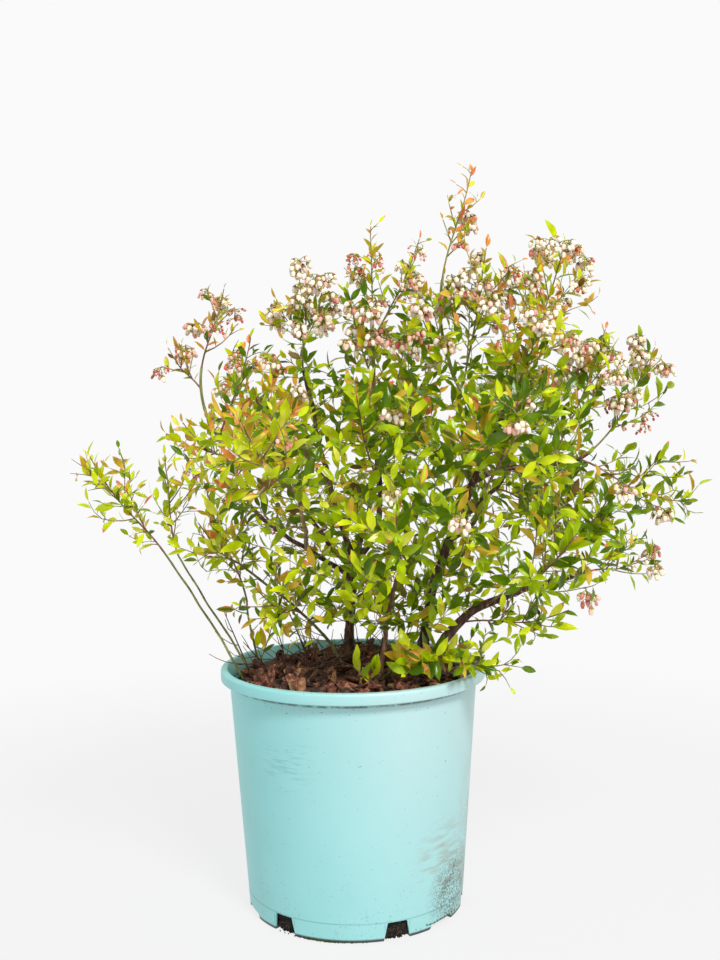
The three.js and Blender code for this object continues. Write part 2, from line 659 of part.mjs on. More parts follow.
// A flower cluster under the end of a twig, from the far end of the spray back.
function hangBlooms(stem, twigs, kept) {
  let blooms = stem.row.blooms;
  for (const twig of twigs) {
    if (blooms === 0 || twig.points === stem.points) return;
    const end = onBranch(twig.points, 1).point;
    const middle = end.clone().addScaledVector(up, -bloom.hang);
    const low = middle.clone().addScaledVector(up, -bloom.length / 2);
    if (!roomFor(stem, [end, low])) continue;
    const whole = fused(kept.whole, bloomGeometry(middle));
    if (whole === kept.whole) continue;
    kept.whole = whole;
    kept.twigs.push({ points: [middle, low], radiusAt: () => bloom.width / 2 });
    twig.flowering = true;
    blooms -= 1;
  }
}

function makeSpray(stem) {
  const { row, index, points } = stem;
  const random = seeded(spray.firstSeed + index);
  const trunk = { points, radiusAt: stemRadius };
  const kept = { whole: solidOf(branchGeometry(points, stemRadius, 3)), leaves: [], twigs: [trunk] };
  const [first, second] = ringFrame(acrossOf(points), stem.axis);
  for (let k = 0; k < row.twigs; k++) {
    const along = mixNumbers(spray.firstTwig, spray.lastTwig, (k + 0.5) / row.twigs);
    const turn = k * goldenTurn + random() * spray.turnMost;
    const lean = mixNumbers(spray.leanLeast, spray.leanMost, random());
    const way = leaning(stem.axis, first, second, turn, lean).addScaledVector(up, spray.lift).normalize();
    const twig = growTwig(stem, onBranch(points, along).point, way);
    if (!twig) continue;
    const whole = fused(kept.whole, branchGeometry(twig, twigRadius, 3));
    if (whole === kept.whole) continue;
    kept.whole = whole;
    kept.twigs.push({ points: twig, radiusAt: twigRadius });
  }
  const twigs = [...kept.twigs].reverse();
  hangBlooms(stem, twigs, kept);
  for (const twig of twigs) growLeaves(stem, twig, random, kept);
  const colour = row.name.includes("left") ? colours.leavesYoung : colours.leaves;
  return named(row.name, geometryOf(kept.whole), colour, 0.6);
}

const plant = new THREE.Group();
plant.add(makePot(), makeMix());
for (const { mesh } of grown.values()) plant.add(mesh);
for (const stem of stems) plant.add(makeSpray(stem));

export default plant;
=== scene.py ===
# A highbush blueberry in flower, in a moulded nursery pot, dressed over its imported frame.
# Sizes are in millimetres where no note says metres, and the front is towards -Y.
import math

import bmesh
import bpy
import numpy as np
from mathutils import Matrix, Vector, noise
from numpy.linalg import norm


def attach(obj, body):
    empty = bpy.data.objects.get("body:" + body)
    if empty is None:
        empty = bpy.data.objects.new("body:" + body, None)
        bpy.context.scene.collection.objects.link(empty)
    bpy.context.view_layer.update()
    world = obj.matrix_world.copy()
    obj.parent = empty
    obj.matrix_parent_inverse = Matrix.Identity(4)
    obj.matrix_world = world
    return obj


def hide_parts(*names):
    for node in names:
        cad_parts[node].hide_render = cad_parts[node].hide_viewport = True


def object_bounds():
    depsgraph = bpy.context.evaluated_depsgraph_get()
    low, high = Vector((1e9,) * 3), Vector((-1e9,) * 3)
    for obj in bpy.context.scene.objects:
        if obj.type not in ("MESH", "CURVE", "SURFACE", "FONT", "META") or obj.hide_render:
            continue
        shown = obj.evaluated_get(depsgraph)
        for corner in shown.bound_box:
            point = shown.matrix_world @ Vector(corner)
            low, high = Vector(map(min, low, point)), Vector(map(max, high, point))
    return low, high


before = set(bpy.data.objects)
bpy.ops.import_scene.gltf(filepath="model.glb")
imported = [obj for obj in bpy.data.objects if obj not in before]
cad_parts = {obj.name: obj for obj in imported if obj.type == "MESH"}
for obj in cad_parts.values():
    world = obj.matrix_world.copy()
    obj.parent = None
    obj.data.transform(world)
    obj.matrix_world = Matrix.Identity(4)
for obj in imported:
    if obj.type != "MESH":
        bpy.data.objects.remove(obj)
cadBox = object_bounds()
mm = 0.001
up = np.array([0.0, 0.0, 1.0])
nodeNames = sorted(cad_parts)
sprayNames = [name for name in nodeNames if name.startswith("spray_")]


def lerp(a, b, share):
    return a + (b - a) * share


def unit(v):
    v = np.asarray(v, float)
    return v / np.maximum(norm(v, axis=-1, keepdims=True), 1e-9)


def seeded(seed):  # the same small generator as in the solids, so that twigs grow the same way
    state = [seed * 7919 + 1]

    def draw():
        state[0] = (state[0] * 1664525 + 1013904223) & 0xFFFFFFFF
        return state[0] / 4294967296

    return draw


# Meshes


def newObject(name, data):
    thing = bpy.data.objects.new(name, data)
    bpy.context.scene.collection.objects.link(thing)
    return thing


def meshFrom(name, points, faces):
    mesh = bpy.data.meshes.new(name)
    mesh.from_pydata((np.asarray(points, float) * mm).tolist(), [], faces)
    return mesh


def addPiece(name, points, faces, materials, slot, replaced=(), faceMaterials=None, sharpAngle=None):
    mesh = meshFrom(name, points, faces)
    return addMesh(name, mesh, materials, replaced, faceMaterials, sharpAngle)


def addMesh(name, mesh, materials, replaced=(), faceMaterials=None, sharpAngle=None):
    for material in materials:
        mesh.materials.append(material)
    if faceMaterials is not None:
        mesh.polygons.foreach_set("material_index", faceMaterials)
    mesh.polygons.foreach_set("use_smooth", [True] * len(mesh.polygons))
    if sharpAngle:
        mesh.set_sharp_from_angle(angle=math.radians(sharpAngle))
    mesh.update()
    piece = newObject(name, mesh)
    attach(piece, "root")
    if replaced:
        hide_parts(*replaced)
    return piece


def ringTurns(sides):
    return np.arange(sides) * 2 * math.pi / sides


def polar(radius, turn, z):
    return [radius * math.cos(turn), radius * math.sin(turn), z]


def gridFaces(rings, sides, first=0):  # quads between closed rings of the same number of points
    ring, side = np.meshgrid(np.arange(rings - 1), np.arange(sides), indexing="ij")
    a = first + ring * sides + side
    b = first + ring * sides + (side + 1) % sides
    return np.stack([a, b, b + sides, a + sides], -1).reshape(-1, 4).tolist()


def copiedFaces(faces, pointsEach, copies):  # the faces of one shape, for each of its copies
    faces = np.asarray(faces)
    firsts = pointsEach * np.arange(copies)[:, None, None]
    return (faces[None] + firsts).reshape(-1, faces.shape[-1]).tolist()


def tubeRings(points, radii, sides, relief=None):
    points = np.asarray(points, float)
    ways = unit(np.gradient(points, axis=0))
    across = unit(np.cross(ways[0], [0.31, 0.9, 0.3]))
    turns = ringTurns(sides)
    rings = []
    for i, (point, way) in enumerate(zip(points, ways)):
        across = unit(across - way * (across @ way))
        other = np.cross(way, across)
        radius = radii[i] + (relief[i] if relief is not None else 0)
        out = np.cos(turns)[:, None] * across + np.sin(turns)[:, None] * other
        rings.append(point + out * np.reshape(radius, (-1, 1)))
    return np.concatenate(rings)


def tubesMesh(paths, sides):  # many tapering tubes in one mesh, each closed at both ends
    points, faces, first = [], [], 0
    for path, radii in paths:
        points.append(tubeRings(path, radii, sides))
        faces += gridFaces(len(path), sides, first)
        last = first + (len(path) - 1) * sides
        faces.append(list(range(first + sides - 1, first - 1, -1)))
        faces.append(list(range(last, last + sides)))
        first += len(path) * sides
    return np.concatenate(points), faces


# Materials


def linear(hexColour):
    channels = [int(hexColour[i : i + 2], 16) / 255 for i in (1, 3, 5)]
    return (*[c / 12.92 if c < 0.04045 else ((c + 0.055) / 1.055) ** 2.4 for c in channels], 1)


def perSize(millimetres):  # noise scale whose features are about that large
    return 1000 / millimetres


def addNode(tree, kind, inputs=None, stops=None, **settings):
    node = tree.nodes.new(kind)
    for key, value in settings.items():
        setattr(node, key, value)
    for key, value in (inputs or {}).items():
        if isinstance(value, bpy.types.Node):  # stands for its first output in use
            value = next(socket for socket in value.outputs if socket.enabled)
        if isinstance(value, bpy.types.NodeSocket):
            tree.links.new(value, node.inputs[key])
        else:
            node.inputs[key].default_value = value
    for i, (place, colour) in enumerate(stops or []):
        ramp = node.color_ramp
        element = ramp.elements[i] if i < 2 else ramp.elements.new(place)
        element.position = place
        element.color = colour if isinstance(colour, tuple) else linear(colour)
    return node


def newMaterial(name):
    material = bpy.data.materials.new(name)
    material.use_nodes = True
    tree = material.node_tree
    tree.nodes.clear()
    place = addNode(tree, "ShaderNodeTexCoord").outputs["Object"]
    return material, tree, place


def leafTissue(name, shade, body, light, glow, roughness=0.2, glowing=0.32):
    # leaf blade with a waxy cuticle: glossy where it faces the light, bright where light comes through
    material, tree, place = newMaterial(name)
    patch = addNode(tree, "ShaderNodeTexNoise", {"Vector": place, "Scale": perSize(16), "Detail": 1})
    colour = addNode(
        tree, "ShaderNodeValToRGB", {"Fac": patch}, stops=[(0.34, shade), (0.66, light), (0.5, body)]
    )
    vein = addNode(tree, "ShaderNodeTexNoise", {"Vector": place, "Scale": perSize(1.6), "Detail": 2})
    mottled = addNode(
        tree, "ShaderNodeMix", {"Factor": vein, 6: colour, 7: linear(light)}, data_type="RGBA"
    )
    fade = addNode(tree, "ShaderNodeMix", {"Factor": 0.22, 6: colour, 7: mottled}, data_type="RGBA")
    bump = addNode(tree, "ShaderNodeBump", {"Strength": 0.25, "Distance": 0.3 * mm, "Height": vein})
    skin = addNode(
        tree,
        "ShaderNodeBsdfPrincipled",
        {
            "Base Color": fade,
            "Roughness": roughness,
            "IOR": 1.45,
            "Specular IOR Level": 0.28,
            "Normal": bump,
        },
    )
    through = addNode(tree, "ShaderNodeBsdfTranslucent", {"Color": linear(glow)})
    both = addNode(tree, "ShaderNodeMixShader", {0: glowing, 1: skin, 2: through})
    addNode(tree, "ShaderNodeOutputMaterial", {"Surface": both})
    return material


def petalTissue(name, shade, body, light, glow):  # waxy corolla: soft sheen, a little light through it
    return leafTissue(name, shade, body, light, glow, roughness=0.42)


def barkTissue(name, furrow, body, flake, size, roughness, depth):
    # bark: dull corky ground with paler flakes that stand along the stem
    material, tree, place = newMaterial(name)
    drawn = addNode(tree, "ShaderNodeMapping", {"Vector": place, "Scale": (1, 1, 0.22)})
    plates = addNode(
        tree,
        "ShaderNodeTexNoise",
        {"Vector": drawn, "Scale": perSize(size), "Detail": 6, "Roughness": 0.62},
    )
    colour = addNode(
        tree, "ShaderNodeValToRGB", {"Fac": plates}, stops=[(0.3, furrow), (0.72, flake), (0.52, body)]
    )
    grain = addNode(tree, "ShaderNodeTexNoise", {"Vector": place, "Scale": perSize(0.8), "Detail": 3})
    bump = addNode(tree, "ShaderNodeBump", {"Strength": 0.8, "Distance": depth * mm, "Height": plates})
    fine = addNode(
        tree, "ShaderNodeBump", {"Strength": 0.4, "Distance": 0.2 * mm, "Height": grain, "Normal": bump}
    )
    skin = addNode(
        tree,
        "ShaderNodeBsdfPrincipled",
        {"Base Color": colour, "Roughness": roughness, "IOR": 1.5, "Normal": fine},
    )
    addNode(tree, "ShaderNodeOutputMaterial", {"Surface": skin})
    return material


oldBark = barkTissue("flakingBark", "#231714", "#4b3128", "#8a6a58", 3.5, 0.85, 0.9)
oliveBark = barkTissue("oliveBark", "#4a4a20", "#74763a", "#a09a60", 5, 0.6, 0.3)
tanBark = barkTissue("tanBark", "#54402c", "#8c7050", "#b89c76", 5, 0.7, 0.3)
deadBark = barkTissue("dryBrownBark", "#281710", "#553728", "#8a6650", 4, 0.85, 0.3)
redBrownBark = barkTissue("redBrownBark", "#4c3024", "#7a5442", "#aa8670", 5, 0.75, 0.35)
mossyBark = barkTissue("mossyBark", "#38361c", "#5c5a30", "#827c50", 4, 0.8, 0.4)
greenRind = barkTissue("greenRind", "#6c6e1c", "#8c8c30", "#aca650", 9, 0.45, 0.15)
rootRind = barkTissue("rootRind", "#2e1c12", "#4c3122", "#70503a", 4, 0.8, 0.2)

# tint: shade, body and light of the blade, and the light that comes through it
leafTints = {
    "deep": ("#1e3a00", "#365600", "#5a7a06", "#8cac00"),
    "green": ("#547000", "#7a9800", "#a2bc0a", "#ccd800"),
    "lime": ("#8ea200", "#b0c208", "#ced824", "#e8ec00"),
    "pale": ("#acb41c", "#c8cc3c", "#dcdc64", "#f0f030"),
    "olive": ("#786a12", "#a68c20", "#c8aa40", "#f0c020"),
    "bronze": ("#9c5a20", "#c48038", "#dea45c", "#ffa038"),
    "copper": ("#9c4828", "#c46a42", "#dc8c62", "#ff8a4c"),
    "spent": ("#3e3218", "#5c4822", "#7c643e", "#90722c"),
}
leafMaterials = {tint: leafTissue("leafBlade_" + tint, *shades) for tint, shades in leafTints.items()}
petalCream = petalTissue("corollaCream", "#ecdcbc", "#f8eed8", "#fffaf0", "#fff4dc")
petalBlush = petalTissue("corollaBlush", "#e0a090", "#f2c6b4", "#fbe6d8", "#ffccb4")
petalRose = petalTissue("budRose", "#b8504c", "#d07066", "#e49c8c", "#ff8878")
sepalGreen = petalTissue("calyxGreen", "#8c8c28", "#a8a040", "#c4b068", "#d0c838")
sepalRed = petalTissue("calyxBrown", "#8c5434", "#a87448", "#c49c6c", "#d88c4c")


# Pot

pot = {
    "height": 240,
    "baseRadius": 107.6,
    "neckRadius": 124,
    "rimRadius": 132.6,
    "rimHeight": 11,
    "rimTopWidth": 7,
    "wall": 2.2,
    "floor": 3,
    "lineHeight": 18.5,
    "sides": 240,
    "windows": 6,
    "firstWindow": -39,
    "windowTop": 18,
    "windowWidths": (27, 19.5),
    "notches": 3,
    "firstNotch": -70,
    "notchHeight": 5.5,
    "notchWidths": (37, 30),
    "below": 1,  # how far under the foot the windows and notches start
    "panelLine": 12.6,  # from a window's middle to the fine moulded line beside it
    "groove": 0.22,
}

# marks on the pot's wall: real dirt and wear, and painted sheen and shade
potWearAndPaintedLight = {
    "noises": {  # size of the features, detail, and how their pattern is drawn out or turned
        "patches": (28, 3, "none"),
        "stains": (9, 4, "none"),
        "specks": (2.2, 3, "none"),
        "fineSpecks": (1.5, 5, "none"),
        "strokes": (1.6, 2, "stroke"),
        "brushed": (7, 4, "wiped"),
    },
    "spots": {  # where the wall is marked: middle, and reach
        "scratches": ((-62, -92, 168), 34),
        "scratchesBelow": ((-48, -100, 178), 26),
        "haze": ((88, -76, 70), 44),
        "grit": ((94, -52, 30), 46),
    },
    "spotCore": 0.45,  # share of the reach in which the mark is at its full strength
    "marks": (  # tint, strength, and where: a noise, spot or axis, where it starts and where it is full
        ("#a0c1c1", 1, ("Y", 70, -20), ("X", -90, 50), ("Z", -100, 200)),  # painted sheen: the front and right of the wall are paler where the lamps' broad highlight falls
        ("#5c9896", 0.6, ("Z", 17.6, 18.2), ("Z", 19.4, 18.8)),  # shade in the moulded line
        ("#203c3a", 0.8, ("Z", 224.2, 225.6), ("Z", 227.4, 226.4), ("stains", 0.34, 0.5)),  # rim seam: dirt and painted shade in a dark line under the rim's overhang
        ("#3c5a56", 0.8, ("specks", 0.715, 0.735)),
        ("#283c3a", 0.9, ("Z", 205, 218), ("Z", 232, 228), ("specks", 0.66, 0.69), ("stains", 0.5, 0.56)),
        ("#58a09c", 0.5, ("scratches",), ("strokes", 0.56, 0.62)),
        ("#58a09c", 0.5, ("scratchesBelow",), ("strokes", 0.4, 0.34)),
        ("#8c8470", 0.6, ("haze",), ("brushed", 0.42, 0.66)),
        ("#6c6a58", 0.55, ("grit",), ("brushed", 0.44, 0.62)),
        ("#302f26", 0.92, ("grit",), ("fineSpecks", 0.5, 0.56)),
        ("#4c4a3e", 0.8, ("X", 100, 114), ("specks", 0.52, 0.6), ("Z", 150, 60)),
        ("#5c6c62", 0.3, ("Z", 100, 8), ("specks", 0.56, 0.68), ("patches", 0.42, 0.6)),  # towards the foot
        ("#a87a5c", 0.55, ("X", 98, 118), ("patches", 0.42, 0.6), ("Z", 200, 40)),
        ("#0c100c", 0.97, ("Z", 4.2, 2.6)),  # painted contact shadow, with dirt: a near-black band where it stands
    ),
}


def mouldedPolypropylene():
    # injection-moulded polypropylene: satin and slightly waxy, with handling marks and dirt, a paler front and
    # right painted as sheen, and painted shade under the rim and along a dirty foot
    material, tree, place = newMaterial("mouldedPolypropylene")
    drawings = {
        "none": place,
        "stroke": addNode(
            tree,
            "ShaderNodeMapping",
            {"Vector": place, "Rotation": (0.1, 0.12, 0), "Scale": (0.07, 0.07, 1)},
        ),
        "wiped": addNode(tree, "ShaderNodeMapping", {"Vector": place, "Scale": (0.35, 0.35, 1.6)}),
    }
    axes = addNode(tree, "ShaderNodeSeparateXYZ", {"Vector": place})
    sources = {axis: axes.outputs[axis] for axis in ("X", "Y", "Z")}
    for name, (size, detail, drawing) in potWearAndPaintedLight["noises"].items():
        sources[name] = addNode(
            tree,
            "ShaderNodeTexNoise",
            {"Vector": drawings[drawing], "Scale": perSize(size), "Detail": detail},
        )
    for name, (middle, reach) in potWearAndPaintedLight["spots"].items():
        sources[name] = addNode(
            tree, "ShaderNodeVectorMath", {0: place, 1: [c * mm for c in middle]}, operation="DISTANCE"
        )
    cloud = addNode(tree, "ShaderNodeTexNoise", {"Vector": place, "Scale": perSize(70), "Detail": 2})
    colour = addNode(tree, "ShaderNodeValToRGB", {"Fac": cloud}, stops=[(0.3, "#7abdbd"), (0.7, "#80c3c3")])
    for tint, strength, *ranges in potWearAndPaintedLight["marks"]:
        mask = strength
        for name, *limits in ranges:
            if name in potWearAndPaintedLight["spots"]:
                reach = potWearAndPaintedLight["spots"][name][1]
                limits = (reach, reach * potWearAndPaintedLight["spotCore"])
            low, high = (limit if name in potWearAndPaintedLight["noises"] else limit * mm for limit in limits)
            step = addNode(
                tree,
                "ShaderNodeMapRange",
                {"Value": sources[name], "From Min": low, "From Max": high},
                clamp=True,
            )
            mask = addNode(tree, "ShaderNodeMath", {0: step, 1: mask}, operation="MULTIPLY")
        colour = addNode(
            tree, "ShaderNodeMix", {"Factor": mask, 6: colour, 7: linear(tint)}, data_type="RGBA"
        )
    rough = addNode(
        tree, "ShaderNodeMapRange", {"Value": sources["patches"], "To Min": 0.4, "To Max": 0.5}, clamp=True
    )
    grain = addNode(tree, "ShaderNodeTexNoise", {"Vector": place, "Scale": perSize(0.9), "Detail": 2})
    bump = addNode(tree, "ShaderNodeBump", {"Strength": 0.12, "Distance": 0.2 * mm, "Height": grain})
    shell = addNode(
        tree,
        "ShaderNodeBsdfPrincipled",
        {"Base Color": colour, "Roughness": rough, "IOR": 1.49, "Specular IOR Level": 0.9, "Normal": bump},
    )
    addNode(tree, "ShaderNodeOutputMaterial", {"Surface": shell})
    return material


def wallRadius(z):
    return lerp(pot["baseRadius"], pot["neckRadius"], z / (pot["height"] - pot["rimHeight"]))


def arcPoints(centre, radius, fromDegrees, toDegrees, steps):
    turns = np.radians(np.linspace(fromDegrees, toDegrees, steps))
    return [(centre[0] + radius * math.cos(t), centre[1] + radius * math.sin(t)) for t in turns]


def revolved(profile, sides):  # a profile that starts and ends on the axis, turned once round it
    turns = ringTurns(sides)
    body = np.array(profile[1:-1])
    rings = np.stack(
        [
            np.outer(body[:, 0], np.cos(turns)),
            np.outer(body[:, 0], np.sin(turns)),
            np.repeat(body[:, 1:], sides, 1),
        ],
        -1,
    ).reshape(-1, 3)
    count = len(rings)
    points = np.vstack([rings, [0, 0, profile[0][1]], [0, 0, profile[-1][1]]])
    faces = gridFaces(len(body), sides)
    for side in range(sides):
        after = (side + 1) % sides
        faces.append([count, after, side])
        faces.append([count - sides + side, count - sides + after, count + 1])
    return points, faces


def wallBlock(low, high, lowWidth, highWidth, degrees, inner, outer, shift=0.0):
    # a block through the wall: its outline stands upright, and its depth runs along a radius
    outline = [
        (shift - lowWidth / 2, low),
        (shift + lowWidth / 2, low),
        (shift + highWidth / 2, high),
        (shift - highWidth / 2, high),
    ]
    turn = math.radians(degrees)
    ahead = np.array([math.sin(turn), -math.cos(turn)])
    beside = np.array([math.cos(turn), math.sin(turn)])
    points = [(*(ahead * reach + beside * x), z) for reach in (inner, outer) for x, z in outline]
    faces = [[0, 1, 2, 3], [7, 6, 5, 4]]
    faces += [[i, i + 4, (i + 1) % 4 + 4, (i + 1) % 4] for i in range(4)]
    return points, faces


def makePot():
    line, lineZ, neck, wall = pot["groove"], pot["lineHeight"], pot["neckRadius"], pot["wall"]
    rimFoot, rimInner = pot["height"] - pot["rimHeight"], pot["rimRadius"] - pot["rimTopWidth"]
    profile = [(0, 0), (pot["baseRadius"] - 2, 0)]
    profile += [(pot["baseRadius"] - 0.7, 0.35), (wallRadius(1.4), 1.4)]
    profile += [(wallRadius(lineZ - line), lineZ - line), (wallRadius(lineZ) - line, lineZ)]
    profile += [(wallRadius(lineZ + line), lineZ + line)]
    profile += [(wallRadius(z), z) for z in np.linspace(30, rimFoot - 3.4, 12)]
    profile += [(neck + 0.5, rimFoot - 3), (neck + 0.5, rimFoot - 1.6)]
    profile += [(neck, rimFoot - 1.2), (neck, rimFoot)]
    profile += arcPoints((pot["rimRadius"] - 1.2, rimFoot + 1.2), 1.2, -90, 0, 4)
    profile += arcPoints((pot["rimRadius"] - 2.6, pot["height"] - 2.6), 2.6, 0, 90, 7)
    profile += arcPoints((rimInner + 1.5, pot["height"] - 1.5), 1.5, 90, 180, 5)
    profile += [(neck - wall + 1.2, rimFoot + 3), (neck - wall, rimFoot)]
    profile += [(wallRadius(z) - wall, z) for z in np.linspace(rimFoot - 20, pot["floor"] + 1, 6)]
    profile += [(wallRadius(pot["floor"]) - wall - 1, pot["floor"]), (0, pot["floor"])]
    mesh = meshFrom("potShell", *revolved(profile, pot["sides"]))
    shell = newObject("potShell", mesh)
    cutPoints, cutFaces = [], []

    def cut(points, faces):
        first = len(cutPoints)
        cutPoints.extend(points)
        cutFaces.extend([[first + i for i in face] for face in faces])

    inner, outer = pot["baseRadius"] - 8, pot["baseRadius"] + 8
    for i in range(pot["windows"]):
        turn = pot["firstWindow"] + i * 360 / pot["windows"]
        cut(*wallBlock(-pot["below"], pot["windowTop"], *pot["windowWidths"], turn, inner, outer))
        for side in (-1, 1):
            away = side * pot["panelLine"]
            skin = wallRadius(10) * math.cos(away / wallRadius(10))
            cut(*wallBlock(1.6, lineZ - 1, 0.45, 0.45, turn, skin - 0.3, outer, away))
    for i in range(pot["notches"]):
        turn = pot["firstNotch"] + i * 360 / pot["notches"]
        cut(*wallBlock(-pot["below"], pot["notchHeight"], *pot["notchWidths"], turn, inner, outer))
    knifeMesh = meshFrom("drainKnife", cutPoints, cutFaces)
    knife = newObject("drainKnife", knifeMesh)
    for block in (mesh, knifeMesh):  # faces turned outwards
        shape = bmesh.new()
        shape.from_mesh(block)
        bmesh.ops.recalc_face_normals(shape, faces=shape.faces)
        shape.to_mesh(block)
        shape.free()
    modifier = shell.modifiers.new("drains", "BOOLEAN")
    modifier.operation, modifier.solver, modifier.object = "DIFFERENCE", "EXACT", knife
    bpy.context.view_layer.update()
    done = bpy.data.meshes.new_from_object(shell.evaluated_get(bpy.context.evaluated_depsgraph_get()))
    done.materials.clear()
    bpy.data.objects.remove(shell)
    bpy.data.objects.remove(knife)
    addMesh("nursery_pot", done, [mouldedPolypropylene()], ["pot"], sharpAngle=28)


makePot()
print("pot made")


# Potting mix and mulch

mix = {
    "level": 223,
    "heapAt": (-4, 30),
    "heapHeight": 15,
    "heapWidth": 66,
    "crumb": 3.2,  # height of the lumps in the mix
    "nuggets": 430,
    "nuggetLength": (10, 27),
    "flakes": 170,
    "flakeLength": (12, 28),
    "flakeWidth": (7, 15),
    "flakeThickness": 1.1,
    "litter": 70,
    "rootlets": 54,
    "crumbs": 210,  # lumps of mix that hang out of each drain window
    "window": 12.3,  # half the width over which they lie
    "rootsAt": 106,  # radius at which the rootlets lie
    "worn": (4, 22),  # heights between which the mix behind the wall is uneven
    "sides": 330,
    "rings": 46,
    "spokes": 150,
    "seed": 5,
    "drainSeed": 21,
}
nuggetKinds = (("dark", 0.5), ("brown", 0.38), ("tan", 0.12))  # colours of bark, and their shares
moss = {  # how many cushions, and where round the foot: middle and spread in degrees from the front
    "foot": (240, -17, 8),
    "notch": (170, 50, 6),
    "windows": (90, 0, 5),  # to each side of a window's middle
    "seed": 8,
}


def mixHeight(x, y):
    away = ((x - mix["heapAt"][0]) ** 2 + (y - mix["heapAt"][1]) ** 2) / mix["heapWidth"] ** 2
    swells = noise.noise(Vector((x * 0.035, y * 0.035, 3))) * 4
    lumps = noise.noise(Vector((x * 0.12, y * 0.12, 9))) * 2.4
    return mix["level"] - 2 + mix["heapHeight"] * math.exp(-away) + (swells + lumps)


def barkMix(name, dark, body, chip, size):
    # composted bark: crumbly, dull and damp-dark, with paler chips in it
    material, tree, place = newMaterial(name)
    crumb = addNode(
        tree, "ShaderNodeTexNoise", {"Vector": place, "Scale": perSize(size), "Detail": 8, "Roughness": 0.7}
    )
    colour = addNode(
        tree, "ShaderNodeValToRGB", {"Fac": crumb}, stops=[(0.36, dark), (0.68, chip), (0.52, body)]
    )
    bump = addNode(tree, "ShaderNodeBump", {"Strength": 1, "Distance": 1.2 * mm, "Height": crumb})
    skin = addNode(
        tree,
        "ShaderNodeBsdfPrincipled",
        {"Base Color": colour, "Roughness": 0.88, "IOR": 1.45, "Normal": bump},
    )
    addNode(tree, "ShaderNodeOutputMaterial", {"Surface": skin})
    return material


# dark compost under the chips, darkened further into painted shade so that the gaps between the chips look deep
compostWithGapShade = barkMix("compostedBark", "#120b08", "#261811", "#4c3426", 5)
wetMix = barkMix("wetCompost", "#060403", "#120b07", "#2c1c12", 4)
flakeMaterials = [
    barkMix("barkNuggetDark", "#170d09", "#412a1f", "#7c5846", 4),
    barkMix("barkNuggetBrown", "#34190f", "#744430", "#bc8468", 4),
    barkMix("barkNuggetTan", "#54301f", "#9c6a4c", "#e0b492", 4),
]
curledLeafMaterials = [
    barkMix("curledLeafBrown", "#5a3a26", "#8a5f40", "#b48a64", 9),
    barkMix("curledLeafStraw", "#6e5032", "#9a7850", "#c8a67c", 9),
]
mossMaterial = barkMix("cushionMoss", "#16200c", "#2c3e16", "#52662a", 1.5)


def makeMixBody():
    rng = np.random.default_rng(mix["seed"])
    sides = mix["sides"]
    heights = np.concatenate([np.arange(3.3, 24, 1.3), [60, 120, 180, mix["level"] - 3]])
    turns = ringTurns(sides)
    profile = []
    for z in heights:
        inner = wallRadius(z) - pot["wall"] - 0.4
        worn = 0 if z < mix["worn"][0] or z > mix["worn"][1] else 1
        lumps = [noise.noise(Vector((math.cos(t) * 26, math.sin(t) * 26, z * 0.24))) for t in turns]
        depth = worn * np.clip(1.2 + 3.4 * np.array(lumps), 0, 6)
        radius = inner - depth
        profile.append(np.stack([radius * np.cos(turns), radius * np.sin(turns), np.full(sides, z)], -1))
    points = np.concatenate(profile + [[[0, 0, heights[0]], [0, 0, heights[-1]]]])
    faces = gridFaces(len(heights), sides)
    last = (len(heights) - 1) * sides
    for side in range(sides):
        after = (side + 1) % sides
        faces.append([len(points) - 2, after, side])
        faces.append([last + side, last + after, len(points) - 1])
    addPiece("potting_mix_body", points, faces, [wetMix], "potting_mix", ["potting_mix"])

    rings, spokes = mix["rings"], mix["spokes"]
    reach = wallRadius(mix["level"]) - pot["wall"] - 0.8
    points = [[0, 0, mixHeight(0, 0)]]
    for ring in range(1, rings + 1):
        radius = reach * ring / rings
        for spoke in range(spokes):
            turn = 2 * math.pi * spoke / spokes
            x, y, _ = polar(radius, turn, 0)
            points.append([x, y, mixHeight(x, y) + rng.uniform(-0.5, 0.5) * mix["crumb"]])
    skirt = len(points)
    points += [[p[0], p[1], mix["level"] - 6] for p in points[-spokes:]]
    faces = [[0, 1 + i, 1 + (i + 1) % spokes] for i in range(spokes)]
    faces += gridFaces(rings + 1, spokes, 1)
    faces.append(list(range(skirt + spokes - 1, skirt - 1, -1)))
    addPiece("potting_mix_top", points, faces, [compostWithGapShade], "potting_mix", ["potting_mix"])


